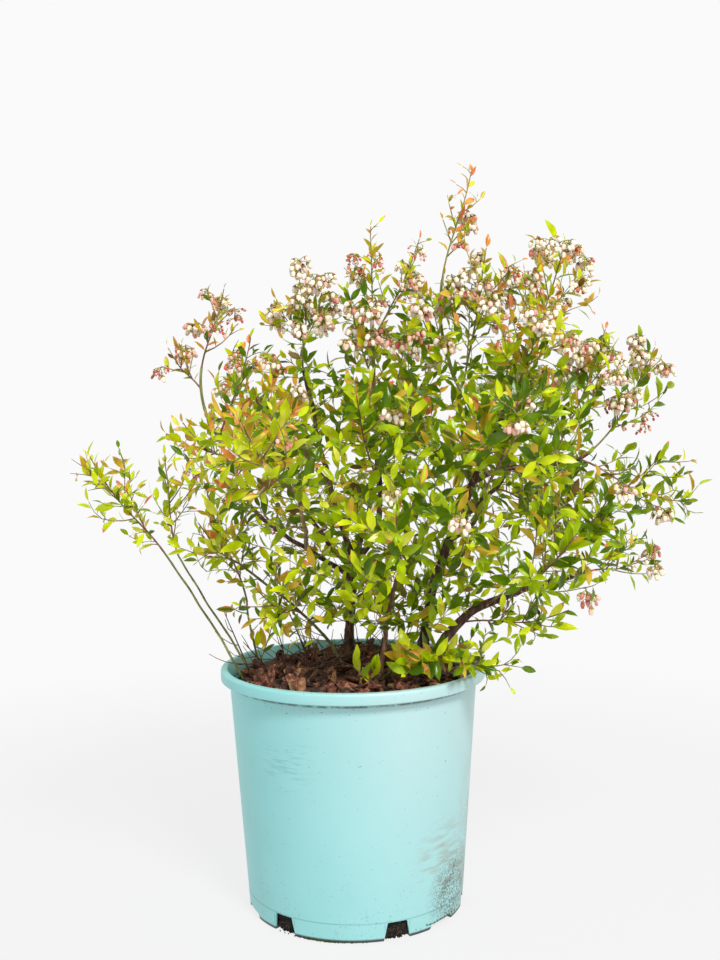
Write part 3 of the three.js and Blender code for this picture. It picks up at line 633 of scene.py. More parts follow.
def plateMesh(centres, ways, faces3, lengths, widths, thickness, curls, jags):
    # curled plates in one mesh: five stations along, three across, on two sides
    along = np.linspace(-0.5, 0.5, 5)
    across = np.linspace(-1, 1, 3)
    taper = np.array([0.45, 0.9, 1, 0.85, 0.4])
    normals = unit(faces3 - ways * np.sum(faces3 * ways, 1, keepdims=True))
    sideways = np.cross(normals, ways)
    n = len(centres)
    x = along[None, :, None] * lengths[:, None, None] * np.ones((n, 5, 3))
    width = (widths / 2)[:, None, None] * taper[None, :, None] * (1 + jags[:, :, None] * np.sign(across))
    curl = curls[:, None, None]
    y = np.sin(across * curl) / np.maximum(curl, 0.05) * width
    z = (1 - np.cos(across * curl)) / np.maximum(curl, 0.05) * width
    z = z + (along[None, :, None] ** 2) * lengths[:, None, None] * 0.5 * curl
    points = []
    for lift in (0.5, -0.5):
        high = z + lift * thickness
        points.append(
            centres[:, None, None, :]
            + x[..., None] * ways[:, None, None, :]
            + y[..., None] * sideways[:, None, None, :]
            + high[..., None] * normals[:, None, None, :]
        )
    points = np.stack(points, 1).reshape(-1, 3)
    plate, sheet = [], 15  # points in each of the two sheets
    for i in range(4):
        for j in range(2):
            a = i * 3 + j
            plate.append([a, a + 3, a + 4, a + 1])
            plate.append([a + sheet, a + sheet + 1, a + sheet + 4, a + sheet + 3])
    rim = [0, 1, 2, 5, 8, 11, 14, 13, 12, 9, 6, 3]
    plate += [[a, b, b + sheet, a + sheet] for a, b in zip(rim, rim[1:] + rim[:1])]
    return points, copiedFaces(plate, 2 * sheet, n)


def ballShape(subdivisions):
    ball = bmesh.new()
    bmesh.ops.create_icosphere(ball, subdivisions=subdivisions, radius=1)
    shape = np.array([v.co[:] for v in ball.verts])
    faces = np.array([[v.index for v in f.verts] for f in ball.faces])
    ball.free()
    return shape, faces


def lumpMesh(centres, sizes, turns, rng, rough, subdivisions=1):
    # angular lumps in one mesh, each a ball that is stretched, turned and knocked out of shape
    shape, faces = ballShape(subdivisions)
    n = len(centres)
    knocked = shape[None] * (1 + rng.uniform(-rough, rough, (n, len(shape), 1)))
    knocked = np.sign(knocked) * np.abs(knocked) ** 0.8 * np.array(sizes)[:, None]
    ahead = unit(np.array(turns))
    across = unit(np.cross(ahead, [0.2, 0.3, 0.93]))
    above = np.cross(ahead, across)
    points = np.array(centres)[:, None] + sum(
        knocked[..., i : i + 1] * axis[:, None] for i, axis in enumerate((ahead, across, above))
    )
    return points.reshape(-1, 3), copiedFaces(faces, len(shape), n)


def makeMulch():
    rng = np.random.default_rng(mix["seed"] + 1)
    reach = wallRadius(mix["level"]) - pot["wall"]

    def placed(length):
        radius = (reach - length * 0.6) * math.sqrt(rng.random())
        turn = rng.uniform(0, 2 * math.pi)
        x, y, _ = polar(radius, turn, 0)
        return np.array([x, y, mixHeight(x, y)])

    def scattered(count, lengthRange, widthRange, thickness, standing, curlMost):
        centres, ways, faces3, lengths = [], [], [], []
        for _ in range(count):
            length = rng.uniform(*lengthRange)
            pitch = rng.normal(0, standing)
            heading = rng.uniform(0, 2 * math.pi)
            lift = abs(math.sin(pitch)) * length * 0.4 + rng.uniform(1.5, 5.5)
            centres.append(placed(length) + up * lift)
            ways.append(polar(math.cos(pitch), heading, math.sin(pitch)))
            faces3.append([rng.normal(0, 0.5), rng.normal(0, 0.5), 1])
            lengths.append(length)
        widths = rng.uniform(*widthRange, count)
        curls = rng.uniform(0.2, curlMost, count)
        jags = rng.uniform(-0.14, 0.14, (count, 5))
        arrays = [np.array(a, float) for a in (centres, ways, faces3, lengths)]
        return plateMesh(*arrays, widths, thickness, curls, jags)

    for (kind, share), material in zip(nuggetKinds, flakeMaterials):
        centres, sizes, turns = [], [], []
        for _ in range(int(mix["nuggets"] * share)):
            length = rng.uniform(*mix["nuggetLength"])
            centres.append(placed(length) + up * rng.uniform(0, 6.5))
            sizes.append(np.array([1, rng.uniform(0.5, 0.85), rng.uniform(0.25, 0.5)]) * length / 2)
            turns.append([rng.normal(), rng.normal(), rng.normal(0, 0.5)])
        nuggets = lumpMesh(centres, sizes, turns, rng, 0.2)
        flakeSize = (mix["flakeLength"], mix["flakeWidth"], mix["flakeThickness"])
        flakes = scattered(int(mix["flakes"] * share), *flakeSize, 0.45, 0.9)
        for name, mesh, sharpAngle in (("nuggets", nuggets, 22), ("flakes", flakes, 40)):
            name = "bark_%s_%s" % (name, kind)
            addPiece(name, *mesh, [material], "potting_mix", ["potting_mix"], sharpAngle=sharpAngle)
    for name, material in zip(("curled_leaves_brown", "curled_leaves_straw"), curledLeafMaterials):
        leaves = scattered(mix["litter"] // 2, (15, 25), (8, 12), 0.5, 0.5, 1.7)
        addPiece(name, *leaves, [material], "potting_mix", ["potting_mix"])


def makeDrainMix():  # damp crumbs that hang out of the drain windows, with fine roots between them
    rng = np.random.default_rng(mix["drainSeed"])
    centres, sizes, turns, paths = [], [], [], []
    for window in range(pot["windows"]):
        centre = math.radians(pot["firstWindow"] + window * 360 / pot["windows"] - 90)
        for _ in range(mix["crumbs"]):
            aside = rng.uniform(-1, 1)
            z = 0.7 + rng.random() ** 1.3 * 5 + 2 * abs(aside) ** 3
            r = wallRadius(z) - pot["wall"] - rng.uniform(0.9, 8)
            turn = centre + aside * mix["window"] / r
            size = rng.uniform(0.6, 1.7)
            centres.append(polar(r, turn, max(z, size * 0.9)))
            sizes.append([size, size * 0.8, size * 0.7])
            turns.append(rng.normal(0, 1, 3))
        for _ in range(mix["rootlets"] // pot["windows"]):
            z = rng.uniform(3, 17)
            heading, length = rng.uniform(-1.4, 1.4), rng.uniform(5, 12)
            path = []
            for s in np.linspace(-0.5, 0.5, 6):
                a = centre + s * length * math.cos(heading) / mix["rootsAt"]
                h = np.clip(z + s * length * math.sin(heading) + rng.normal(0, 0.4), 1.5, 19)
                r = wallRadius(h) - pot["wall"] - 1.1 - rng.uniform(0, 0.8)
                path.append(polar(r, a, h))
            path = np.array(path)
            swing = rng.uniform(-9, 9) / mix["rootsAt"]
            cosine, sine = math.cos(swing), math.sin(swing)
            path[:, :2] = path[:, :2] @ np.array([[cosine, sine], [-sine, cosine]])
            paths.append((path, np.full(6, rng.uniform(0.15, 0.35))))
    crumbs = lumpMesh(centres, sizes, turns, rng, 0.25)
    addPiece("mix_crumbs", *crumbs, [wetMix], "potting_mix", ["potting_mix"])
    addPiece("mix_rootlets", *tubesMesh(paths, 5), [rootRind], "potting_mix", ["potting_mix"])


def makeMoss():  # thin moss along the foot, at the front left, and a little in the windows
    rng = np.random.default_rng(moss["seed"])
    centres, sizes = [], []
    count, middle, spread = moss["foot"]
    for _ in range(count):
        turn = math.radians(rng.normal(middle, spread) - 90)
        size = rng.uniform(0.3, 0.75)
        z = abs(rng.normal(0, 0.8)) + 0.5
        r = wallRadius(z) - 0.1
        centres.append(polar(r, turn, z))
        sizes.append([size] * 3)
    count, middle, spread = moss["notch"]
    for _ in range(count):
        turn = math.radians(rng.normal(middle, spread) - 90)
        z = pot["notchHeight"] + 0.3 + abs(rng.normal(0, 0.7))
        size = rng.uniform(0.3, 0.9)
        r = wallRadius(z) - rng.uniform(-0.1, 1.2)
        centres.append(polar(r, turn, z))
        sizes.append([size, size * 0.8, size * 0.7])
    count, middle, spread = moss["windows"]
    for _ in range(count):
        window = rng.integers(pot["windows"])
        at = pot["firstWindow"] + window * 360 / pot["windows"] + middle
        turn = math.radians(at - 90 + rng.uniform(-spread, spread))
        z = rng.uniform(3, 8) if rng.random() < 0.7 else rng.uniform(8, 15)
        size = rng.uniform(0.4, 0.9)
        r = wallRadius(z) - pot["wall"] - 1.6
        centres.append(polar(r, turn, z))
        sizes.append([size] * 3)
    points, faces = lumpMesh(centres, sizes, rng.normal(0, 1, (len(centres), 3)), rng, 0.3)
    points[:, 2] = np.maximum(points[:, 2], 0.1)
    addPiece("moss_cushions", points, faces, [mossMaterial], "pot_plastic", ["pot"])


makeMixBody()
makeMulch()
makeDrainMix()
makeMoss()
print("mix and mulch made")

# Limbs: the same table, curves and seats as in the solids

gap = 0.3  # between a branch and the bark that it sits on
limbSteps, stemSteps = 5, 3  # segments of a limb and of a spray's stem in the solids
bendShare = 0.38  # of a limb's length, over which it keeps the way that it starts or ends
flareHeight = 14

# name, foot on the mix or (carrier, share along it), lean, tip, sweep, radius at foot, at tip, flare
limbs = [
    ("trunk_right", (70, 10), (0.02, 0, 1), (166, 24, 516), (0.34, 0.1, 0.94), 5.6, 2.4, 0.7),
    ("trunk_left", (-3, 40), (0, 0, 1), (1, 42, 345), (0.06, 0, 1), 4.8, 3.6, 0.7),
    ("bough_right", (83, -12), (-0.12, 0, 1), (238, -14, 332), (1, -0.02, 0.24), 5.4, 2, 0.6),
    ("stem_centre", (26, -18), (0.12, -0.02, 1), (46, -58, 338), (0.3, -0.6, 0.8), 2.5, 1.6, 0.6),
    ("stem_low_left", (-2, -16), (-0.35, 0, 1), (-104, -26, 341), (-0.9, -0.1, 0.75), 1.6, 1.2, 0.5),
    ("stem_over_rim", (16, -44), (0.8, -0.2, 0.7), (86, -68, 264), (0.9, -0.5, 0.1), 1.4, 1.1, 0.5),
    ("cane_left", (-109, -6), (-0.46, 0, 1), (-187, -4, 355), (-0.6, 0, 1), 1.2, 1, 0.3),
    ("cane_left_back", (-102, 14), (-0.5, 0, 1), (-177, 18, 350), (-0.5, 0, 1), 1.15, 0.95, 0.3),
    ("shoot_left", (-97, 34), (-0.05, -0.1, 1), (-106, 2, 304), (0.05, -0.3, 1), 1.15, 0.95, 0.3),
    ("bough_back", ("trunk_left", 0.72), (0.1, 0.8, 0.7), (24, 128, 420), (0.1, 0.5, 1), 3, 1.8, 0),
    ("bough_back_left", ("trunk_left", 0.9), (-0.7, 0.6, 0.6), (-66, 104, 428), (-0.3, 0.4, 1), 2.6, 1.7, 0),
    ("arm_left", ("trunk_left", 0.82), (-1, -0.2, 0.75), (-112, 2, 428), (-0.35, -0.05, 1), 2.4, 1.6, 0),
    ("arm_upper_left", ("arm_left", 1), (-0.4, -0.05, 1), (-146, -2, 540), (0.2, -0.05, 1), 1.8, 1.3, 0),
    ("cane_pale", ("trunk_left", 1), (-0.4, -0.1, 1), (-46, 14, 536), (-0.25, -0.05, 1), 2.8, 1.6, 0),
    ("arm_centre", ("trunk_left", 0.93), (0.75, -0.05, 0.7), (27, 32, 450), (-0.05, -0.05, 1), 2.8, 2.2, 0),
    ("stem_upper_centre", ("arm_centre", 1), (0, -0.05, 1), (25, 14, 582), (0.02, -0.02, 1), 2, 1.4, 0),
    ("bough_front_right", ("trunk_right", 0.42), (0.1, -0.9, 0.6), (122, -96, 412), (0.2, -0.5, 1), 2.8, 1.8, 0),
    ("bough_front_left", ("arm_left", 0.3), (-0.1, -0.9, 0.5), (-46, -92, 408), (-0.2, -0.5, 1), 2.2, 1.6, 0),
    ("bough_back_right", ("trunk_right", 0.5), (0.5, 0.8, 0.5), (176, 108, 446), (0.3, 0.4, 1), 2.9, 1.8, 0),
    ("bough_upper_right", ("trunk_right", 0.68), (0.9, -0.1, 0.5), (242, -4, 452), (0.8, 0, 0.6), 2.7, 1.6, 0),
    ("leader", ("trunk_right", 0.84), (-0.7, 0, 0.8), (94, 0, 622), (0.1, -0.02, 1), 2.3, 1.4, 0),
]

bark = {
    "ring": 2.2,  # between rings of the mesh
    "plates": 0.09,  # relief of the flaking bark, as a share of the radius
    "ridges": 0.05,
    "nodes": 23,  # between the swollen nodes of a young cane
    "nodeSwell": 0.14,
    "collar": 0.22,  # swelling where a branch leaves its carrier
    "collarLength": 7,
    "wander": (2.2, 1.2),  # how far an old and a young limb stray from the curve
    "settle": 25,  # length at each end over which they come back to it
    "seed": 4,  # of the wander: without it noise_vector is different in every run
    "own": {
        "stem_centre": redBrownBark,
        "stem_over_rim": mossyBark,
        "stem_low_left": mossyBark,
        "arm_left": oldBark,
    },
}


def curve(start, lean, tip, sweep, places):
    reach = norm(tip - start) * bendShare
    t = np.asarray(places)[:, None]
    near, far = start + lean * reach, tip - sweep * reach
    return (1 - t) ** 3 * start + 3 * (1 - t) ** 2 * t * near + 3 * (1 - t) * t**2 * far + t**3 * tip


def onBranch(points, along):
    place = along * (len(points) - 1)
    step = min(int(place), len(points) - 2)
    return lerp(points[step], points[step + 1], place - step), unit(points[step + 1] - points[step])


def acrossOf(points):
    start, end = unit(points[1] - points[0]), unit(points[-1] - points[-2])
    across = np.cross(start, end)
    return np.cross(start, [0.3, 0.9, 0.31]) if norm(across) < 0.05 else across


def ringFrame(across, way):
    side = unit(np.cross(across, way))
    return np.cross(side, way), side


def leaning(way, first, second, turn, lean):
    out = first * math.cos(turn) + second * math.sin(turn)
    return unit(way * math.cos(lean) + out * math.sin(lean))


def seatOf(on, lean, radius):  # where a branch starts: as near its carrier's axis as its bark lets it
    carrier = grown[on[0]]
    point, way = onBranch(carrier["points"], on[1])
    cosine = abs(float(lean @ way))
    sine = math.sqrt(max(1 - cosine * cosine, 1e-4))
    out = (lerp(carrier["thick"], carrier["thin"], on[1]) * 0.87 + gap + radius * cosine) / sine
    if on[1] == 1:
        out = min(out, (gap + radius * sine) / max(cosine, 0.1))
    return point, point + lean * out


grown = {}
for name, origin, lean, tip, sweep, thick, thin, flare in limbs:
    lean, tip, sweep = unit(lean), np.array(tip, float), unit(sweep)
    if origin[0] in grown:
        inside, start = seatOf(origin, lean, thick)
    else:
        start = np.array([*origin, mix["level"] + gap])
        inside = start - lean * 12
    grown[name] = {
        "points": curve(start, lean, tip, sweep, np.linspace(0, 1, limbSteps + 1)),
        "line": (start, lean, tip, sweep),
        "inside": inside,
        "thick": thick,
        "thin": thin,
        "flare": flare,
        "foot": origin[0] not in grown,
    }


def makeLimb(name, limb):
    start, lean, tip, sweep = limb["line"]
    length = norm(tip - start) * 1.06
    steps = int(length / bark["ring"])
    along = np.linspace(0, 1, steps)
    buried = lerp(limb["inside"], start, np.array([[0], [0.5]]))
    points = np.vstack([buried, curve(start, lean, tip, sweep, along)])
    along = np.concatenate([[0, 0], along])
    radii = lerp(limb["thick"], limb["thin"], along)
    radii *= 1 + limb["flare"] * np.exp(-along * length / flareHeight)
    if not limb["foot"]:
        radii *= 1 + bark["collar"] * np.exp(-along * length / bark["collarLength"])
    young = limb["thin"] < 1.6
    wander = np.array([noise.noise_vector(Vector((s * length * 0.035, limb["thick"], 4))) for s in along])
    fromStart = np.minimum(along[2:] * length / bark["settle"], 1)[:, None]
    fromTip = np.minimum((1 - along[2:]) * length / bark["settle"], 1)[:, None]
    points[2:] += wander[2:] * fromStart * fromTip * bark["wander"][young]
    sides = 14 if limb["thick"] < 2.5 else 22
    relief = np.zeros((len(points), sides))
    turns = ringTurns(sides)
    for i, share in enumerate(along):
        far = share * length
        radius = radii[i]
        swell = bark["nodeSwell"] * math.exp(-(((far % bark["nodes"]) - bark["nodes"] / 2) / 2.2) ** 2)
        for j, turn in enumerate(turns):
            x, y = math.cos(turn) * radius, math.sin(turn) * radius
            if young:
                relief[i, j] = radius * (swell + 0.03 * noise.noise(Vector((x, y, far * 0.3))))
            else:
                plate = noise.noise(Vector((x * 0.55, y * 0.55, far * 0.09 + limb["thick"]))) > 0.02
                ridge = 1 - 3 * abs(noise.noise(Vector((x * 1.1, y * 1.1, far * 0.16))))
                relief[i, j] = radius * (bark["plates"] * plate + bark["ridges"] * ridge + swell * 0.5)
                relief[i, j] += 0.35 * noise.noise(Vector((x * 0.2, y * 0.2, far * 0.05)))
    rings = tubeRings(points, radii, sides, relief)
    faces = gridFaces(len(points), sides)
    last = (len(points) - 1) * sides
    faces += [list(range(sides - 1, -1, -1)), list(range(last, last + sides))]
    usual = oliveBark if young else oldBark if limb["thick"] > 2.5 else tanBark
    slot = "young_bark" if young else "bark"
    addPiece("bark_" + name, rings, faces, [bark["own"].get(name, usual)], slot, [name])


noise.seed_set(bark["seed"])
for name, limb in grown.items():
    makeLimb(name, limb)
print("limbs made")


# Sprays: first the spaces and the seeded twigs of the solids, then the finer twigs

# name, (limb, share along it), tip, half width of its space, twigs, flower clusters
sprays = [
    ("spray_left_end", ("cane_left", 1), (-264, -6, 462), 42, 6, 0),
    ("spray_left_upper", ("cane_left_back", 1), (-190, 24, 462), 38, 5, 1),
    ("spray_left_shoot", ("shoot_left", 1), (-142, -56, 440), 48, 5, 0),
    ("spray_low_left", ("stem_low_left", 1), (-150, -70, 400), 50, 5, 0),
    ("spray_low_front_left", ("stem_low_left", 0.55), (-92, -104, 338), 44, 5, 0),
    ("spray_left_middle", ("arm_upper_left", 0.14), (-166, -50, 494), 50, 6, 0),
    ("spray_left_cluster", ("arm_upper_left", 0.82), (-184, 6, 566), 28, 4, 2),
    ("spray_left_spire", ("arm_upper_left", 1), (-120, -6, 624), 30, 5, 3),
    ("spray_left_inner", ("arm_upper_left", 0.35), (-92, -20, 578), 44, 5, 2),
    ("spray_front_left", ("bough_front_left", 1), (-98, -176, 500), 64, 6, 1),
    ("spray_pale_side", ("cane_pale", 0.4), (-92, -70, 520), 60, 5, 1),
    ("spray_pale_top", ("cane_pale", 1), (-38, -8, 636), 48, 6, 4),
    ("spray_centre_slim", ("stem_upper_centre", 1), (24, 0, 684), 30, 5, 2),
    ("spray_centre_upper", ("stem_upper_centre", 0.5), (-2, -50, 622), 54, 5, 3),
    ("spray_centre_tall", ("stem_upper_centre", 0.86), (74, -24, 668), 36, 5, 3),
    ("spray_centre_front", ("arm_centre", 0.7), (6, -128, 516), 64, 6, 1),
    ("spray_front_low", ("stem_centre", 1), (40, -178, 416), 64, 6, 1),
    ("spray_leader_top", ("leader", 1), (126, -6, 738), 24, 5, 2),
    ("spray_leader_left", ("leader", 0.55), (62, -90, 596), 56, 5, 2),
    ("spray_leader_right", ("leader", 0.3), (136, -40, 662), 60, 6, 5),
    ("spray_trunk_top", ("trunk_right", 1), (222, 10, 670), 60, 6, 4),
    ("spray_trunk_front", ("trunk_right", 0.9), (176, -112, 578), 68, 6, 2),
    ("spray_shoulder", ("bough_upper_right", 0.62), (262, 6, 586), 62, 6, 3),
    ("spray_right_cluster", ("bough_upper_right", 1), (310, 2, 562), 38, 5, 4),
    ("spray_right_end", ("bough_upper_right", 0.85), (352, -20, 398), 48, 6, 1),
    ("spray_low_right", ("bough_right", 1), (304, -8, 352), 36, 5, 2),
    ("spray_right_middle", ("bough_right", 0.72), (266, -50, 436), 70, 6, 1),
    ("spray_front_right_low", ("bough_right", 0.5), (206, -150, 392), 64, 6, 1),
    ("spray_low_end", ("bough_right", 0.36), (216, -60, 304), 36, 5, 0),
    ("spray_over_rim", ("stem_over_rim", 1), (152, -112, 262), 38, 5, 0),
    ("spray_front_right", ("bough_front_right", 1), (146, -188, 510), 66, 6, 2),
    ("spray_front_middle", ("bough_front_right", 0.6), (84, -196, 412), 60, 5, 1),
    ("spray_back_right", ("bough_back_right", 1), (214, 176, 548), 68, 6, 3),
    ("spray_back_right_low", ("bough_back_right", 0.6), (246, 136, 402), 64, 6, 1),
    ("spray_back", ("bough_back", 1), (56, 222, 520), 70, 6, 2),
    ("spray_back_top", ("bough_back", 0.85), (66, 92, 600), 66, 6, 3),
    ("spray_back_left", ("bough_back_left", 1), (-122, 168, 536), 68, 6, 2),
]

spray = {  # the solids' rule for twigs
    "stemThick": 2.1,
    "stemThin": 1.5,
    "firstTwig": 0.16,  # share along the stem
    "lastTwig": 0.93,
    "leanLeast": 0.6,  # radians from the spray's axis
    "leanMost": 1.15,
    "lift": 0.22,  # how strongly twigs turn up
    "turnMost": 0.7,
    "longest": 1.35,  # times the half width of the space
    "shortest": 12,
    "tipLeaf": 0.8,  # size of the leaf at a twig's end
    "tipRoom": 16,
    "margin": 1,
    "firstSeed": 46,
    "leafRoom": 52,  # that the solids' large leaves take past the end of a twig
    "fullSizeWide": 56,  # half width from which the leaves have their full size
}

finer = {
    "extraTwigs": 0.5,  # times the twigs of the solids, in between them
    "cell": 14500,  # cubic millimetres of a spray's space to each finer shoot
    "apart": 11,  # least distance between the ends of shoots
    "tipThin": 0.45,  # share of the shoots that is left at the far end of a space
    "shortest": 9,
    "longest": 58,
    "turnBack": 0.55,  # price of a shoot that turns back along its twig
    "downCost": 0.9,  # price of each millimetre that it falls
    "stemRadius": (1.15, 0.55),
    "twigRadius": (0.75, 0.42),
    "shootRadius": (0.5, 0.32),
    "bow": 0.06,  # how far a twig bends from straight, as a share of its length
    "clusterShare": (1.1, 3),  # flower clusters to each of the solids', in low and in high sprays
    "clustersOf": {"spray_leader_top": 2},
    "bareTips": ("spray_right_end", "spray_leader_top"),  # whose far end has no flowers
}

leafiness = {  # of the sprays that are fuller or more open than the rest
    "spray_left_end": 1.5,
    "spray_left_middle": 0.45,
    "spray_left_cluster": 0.3,
    "spray_left_spire": 0.4,
    "spray_left_inner": 0.5,
    "spray_left_upper": 0.6,
    "spray_pale_side": 0.8,
    "spray_low_front_left": 0.6,
    "spray_pale_top": 1.6,
    "spray_centre_upper": 1.2,
    "spray_centre_tall": 0.8,
    "spray_leader_left": 0.8,
    "spray_leader_right": 1.5,
    "spray_leader_top": 0.8,
    "spray_trunk_top": 1.1,
    "spray_right_end": 1.4,
    "spray_low_right": 0.8,
    "spray_low_left": 0.5,
    "spray_low_end": 1.2,
    "spray_front_low": 0.3,
    "spray_front_middle": 0.4,
    "spray_front_right_low": 0.35,
    "spray_centre_front": 0.45,
    "spray_over_rim": 1.2,
    "spray_right_middle": 1.7,
}

core = {  # the room between the sprays, filled by side shoots of the boughs
    "centre": (45, 0, 420),
    "halfLength": 238,  # along x
    "halfWidth": 165,
    "cell": 22000,
    "lowest": 375,  # height of the lowest bough that carries side shoots
    "bare": ("cane_left", "cane_left_back", "shoot_left", "stem_over_rim"),
}

leafShape = {
    "length": (22, 24),  # on the left of the crown and on its right
    "highSize": 0.78,  # of the leaves at the top
    "spread": 0.3,  # how much the lengths vary
    "widthShare": 0.37,
    "spacing": 4.6,  # along a twig
    "lean": (0.65, 1.2),
    "lastLean": (0.05, 0.3),  # of the leaf at a shoot's end
    "lift": 0.3,
    "fold": (0.12, 0.45),
    "arch": (0.1, 0.85),
    "stations": (0, 0.08, 0.3, 0.55, 0.8, 1),
    "widths": (0.06, 0.1, 0.84, 1, 0.62, 0.03),
    "pieces": 3,
    "tipped": 0.5,  # share of tender leaves with a rust-coloured tip
    "edged": 0.3,  # and with rust-coloured margins
    "slimSprays": ("spray_leader_top",),  # all young
    "ownSize": {"spray_over_rim": 0.8, "spray_low_end": 1.15},
}

crownMiddle = np.array([35, 0, 440])
crownReach = np.array([300, 205, 290])  # from its middle, along x, y and z
goldenTurn = 2.399963  # radians from one leaf or twig to the next round its stem

stems = []
for index, (name, on, tip, wide, twigs, blooms) in enumerate(sprays):
    carrier = grown[on[0]]
    tip = np.array(tip, float)
    point, way = onBranch(carrier["points"], on[1])
    toTip = unit(tip - point)
    lean = unit(toTip + way) if on[1] == 1 else toTip
    sweep = unit(toTip + up * spray["lift"])
    leafSize = min(wide / spray["fullSizeWide"], 1)
    end = tip - sweep * spray["leafRoom"] * leafSize
    inside, start = seatOf(on, lean, spray["stemThick"])
    axis = tip - start
    half = (norm(axis) + spray["tipRoom"]) / 2
    stems.append(
        {
            "name": name,
            "index": index,
            "points": curve(start, lean, end, sweep, np.linspace(0, 1, stemSteps + 1)),
            "line": (start, lean, end, sweep),
            "inside": inside,
            "tip": tip,
            "sweep": sweep,
            "axis": unit(axis),
            "half": half,
            "centre": start + unit(axis) * half,
            "wide": wide,
            "leafSize": leafSize,
            "twigs": twigs,
            "blooms": blooms,
            "fill": leafiness.get(name, 1),
        }
    )


def reachOf(stem, direction):
    lengthwise = direction @ stem["axis"]
    return 1 / np.sqrt((lengthwise / stem["half"]) ** 2 + (1 - lengthwise**2) / stem["wide"] ** 2)


for stem in stems:
    towards, limits = [np.zeros(3)], [1000.0]
    for other in stems:
        if other is stem:
            continue
        between = other["centre"] - stem["centre"]
        distance = norm(between)
        own, theirs = reachOf(stem, between / distance), reachOf(other, between / distance)
        if own + theirs >= distance:
            towards.append(between / distance)
            limits.append(distance * own / (own + theirs) - spray["margin"])
    stem["towards"], stem["limits"] = np.array(towards), np.array(limits)

woodStarts, woodEnds, woodRadii, woodOwners = [], [], [], []
for owner, branch in [*grown.items(), *((stem["name"], stem) for stem in stems)]:
    line = branch["points"]
    thick, thin = branch.get("thick", spray["stemThick"]), branch.get("thin", spray["stemThin"])
    for i in range(len(line) - 1):
        woodStarts.append(line[i])
        woodEnds.append(line[i + 1])
        radius = lerp(thick, thin, i / (len(line) - 1))
        woodRadii.append(radius * (1 + branch.get("flare", 0) * (i == 0)))
        woodOwners.append(owner)
woodStarts, woodEnds, woodRadii = np.array(woodStarts), np.array(woodEnds), np.array(woodRadii)
woodOwners = np.array(woodOwners)


def insideSpace(stem, points, slack=1.0):
    offset = points - stem["centre"]
    distance = norm(offset, axis=1)
    inReach = distance <= reachOf(stem, offset / np.maximum(distance, 1e-6)[:, None]) * slack
    return inReach & np.all(offset @ stem["towards"].T < stem["limits"] * slack + (slack - 1) * 20, axis=1)


def clearOfPot(points):
    overRim = points[:, 2] > pot["height"] + 2
    return overRim | (np.hypot(points[:, 0], points[:, 1]) > pot["rimRadius"] + 2)


def clearOfWood(stem, points, margin):
    others = woodOwners != stem["name"]
    start, run = woodStarts[others], (woodEnds - woodStarts)[others]
    offset = points[:, None] - start
    share = np.clip(np.sum(offset * run, -1) / np.sum(run * run, -1), 0, 1)
    distance = norm(offset - share[..., None] * run, axis=-1)
    return np.all(distance > woodRadii[others] + margin, axis=1)


def roomFor(stem, points):
    points = np.asarray(points)
    return bool(np.all(insideSpace(stem, points) & clearOfPot(points) & clearOfWood(stem, points, 1)))


def growTwig(stem, root, way, longest):
    room = spray["leafRoom"] * stem["leafSize"] * spray["tipLeaf"]
    length = longest
    while length > spray["shortest"]:
        if roomFor(stem, [root + way * far for far in (length / 2, length, length + room)]):
            return root + way * length
        length *= 0.9
    return None


greenHeight = 545  # of a spray's tip, over which its stem is this year's green cane


def isGreenCane(stem):
    return stem["tip"][2] > greenHeight and stem["tip"][0] > -60


shoots = []  # every leafy shoot: its points, its radii, the spray it belongs to and its rank
clusters = []  # where a flower cluster hangs, and the spray


def bowed(root, end, rng, bow=finer["bow"]):
    run = end - root
    length = norm(run)
    steps = max(3, int(length / 9) + 1)
    t = np.linspace(0, 1, steps)[:, None]
    side = np.array([rng.normal(0, 0.6), rng.normal(0, 0.6), -1.0])
    side -= unit(run) * (side @ unit(run))
    return root + run * t + side * length * bow * np.sin(math.pi * t) * rng.uniform(0.3, 1.2)


def addShoot(stem, points, radii, rank):
    length = float(np.sum(norm(np.diff(points, axis=0), axis=1)))
    shoots.append({"stem": stem, "points": points, "radii": radii, "rank": rank, "length": length})
    return shoots[-1]


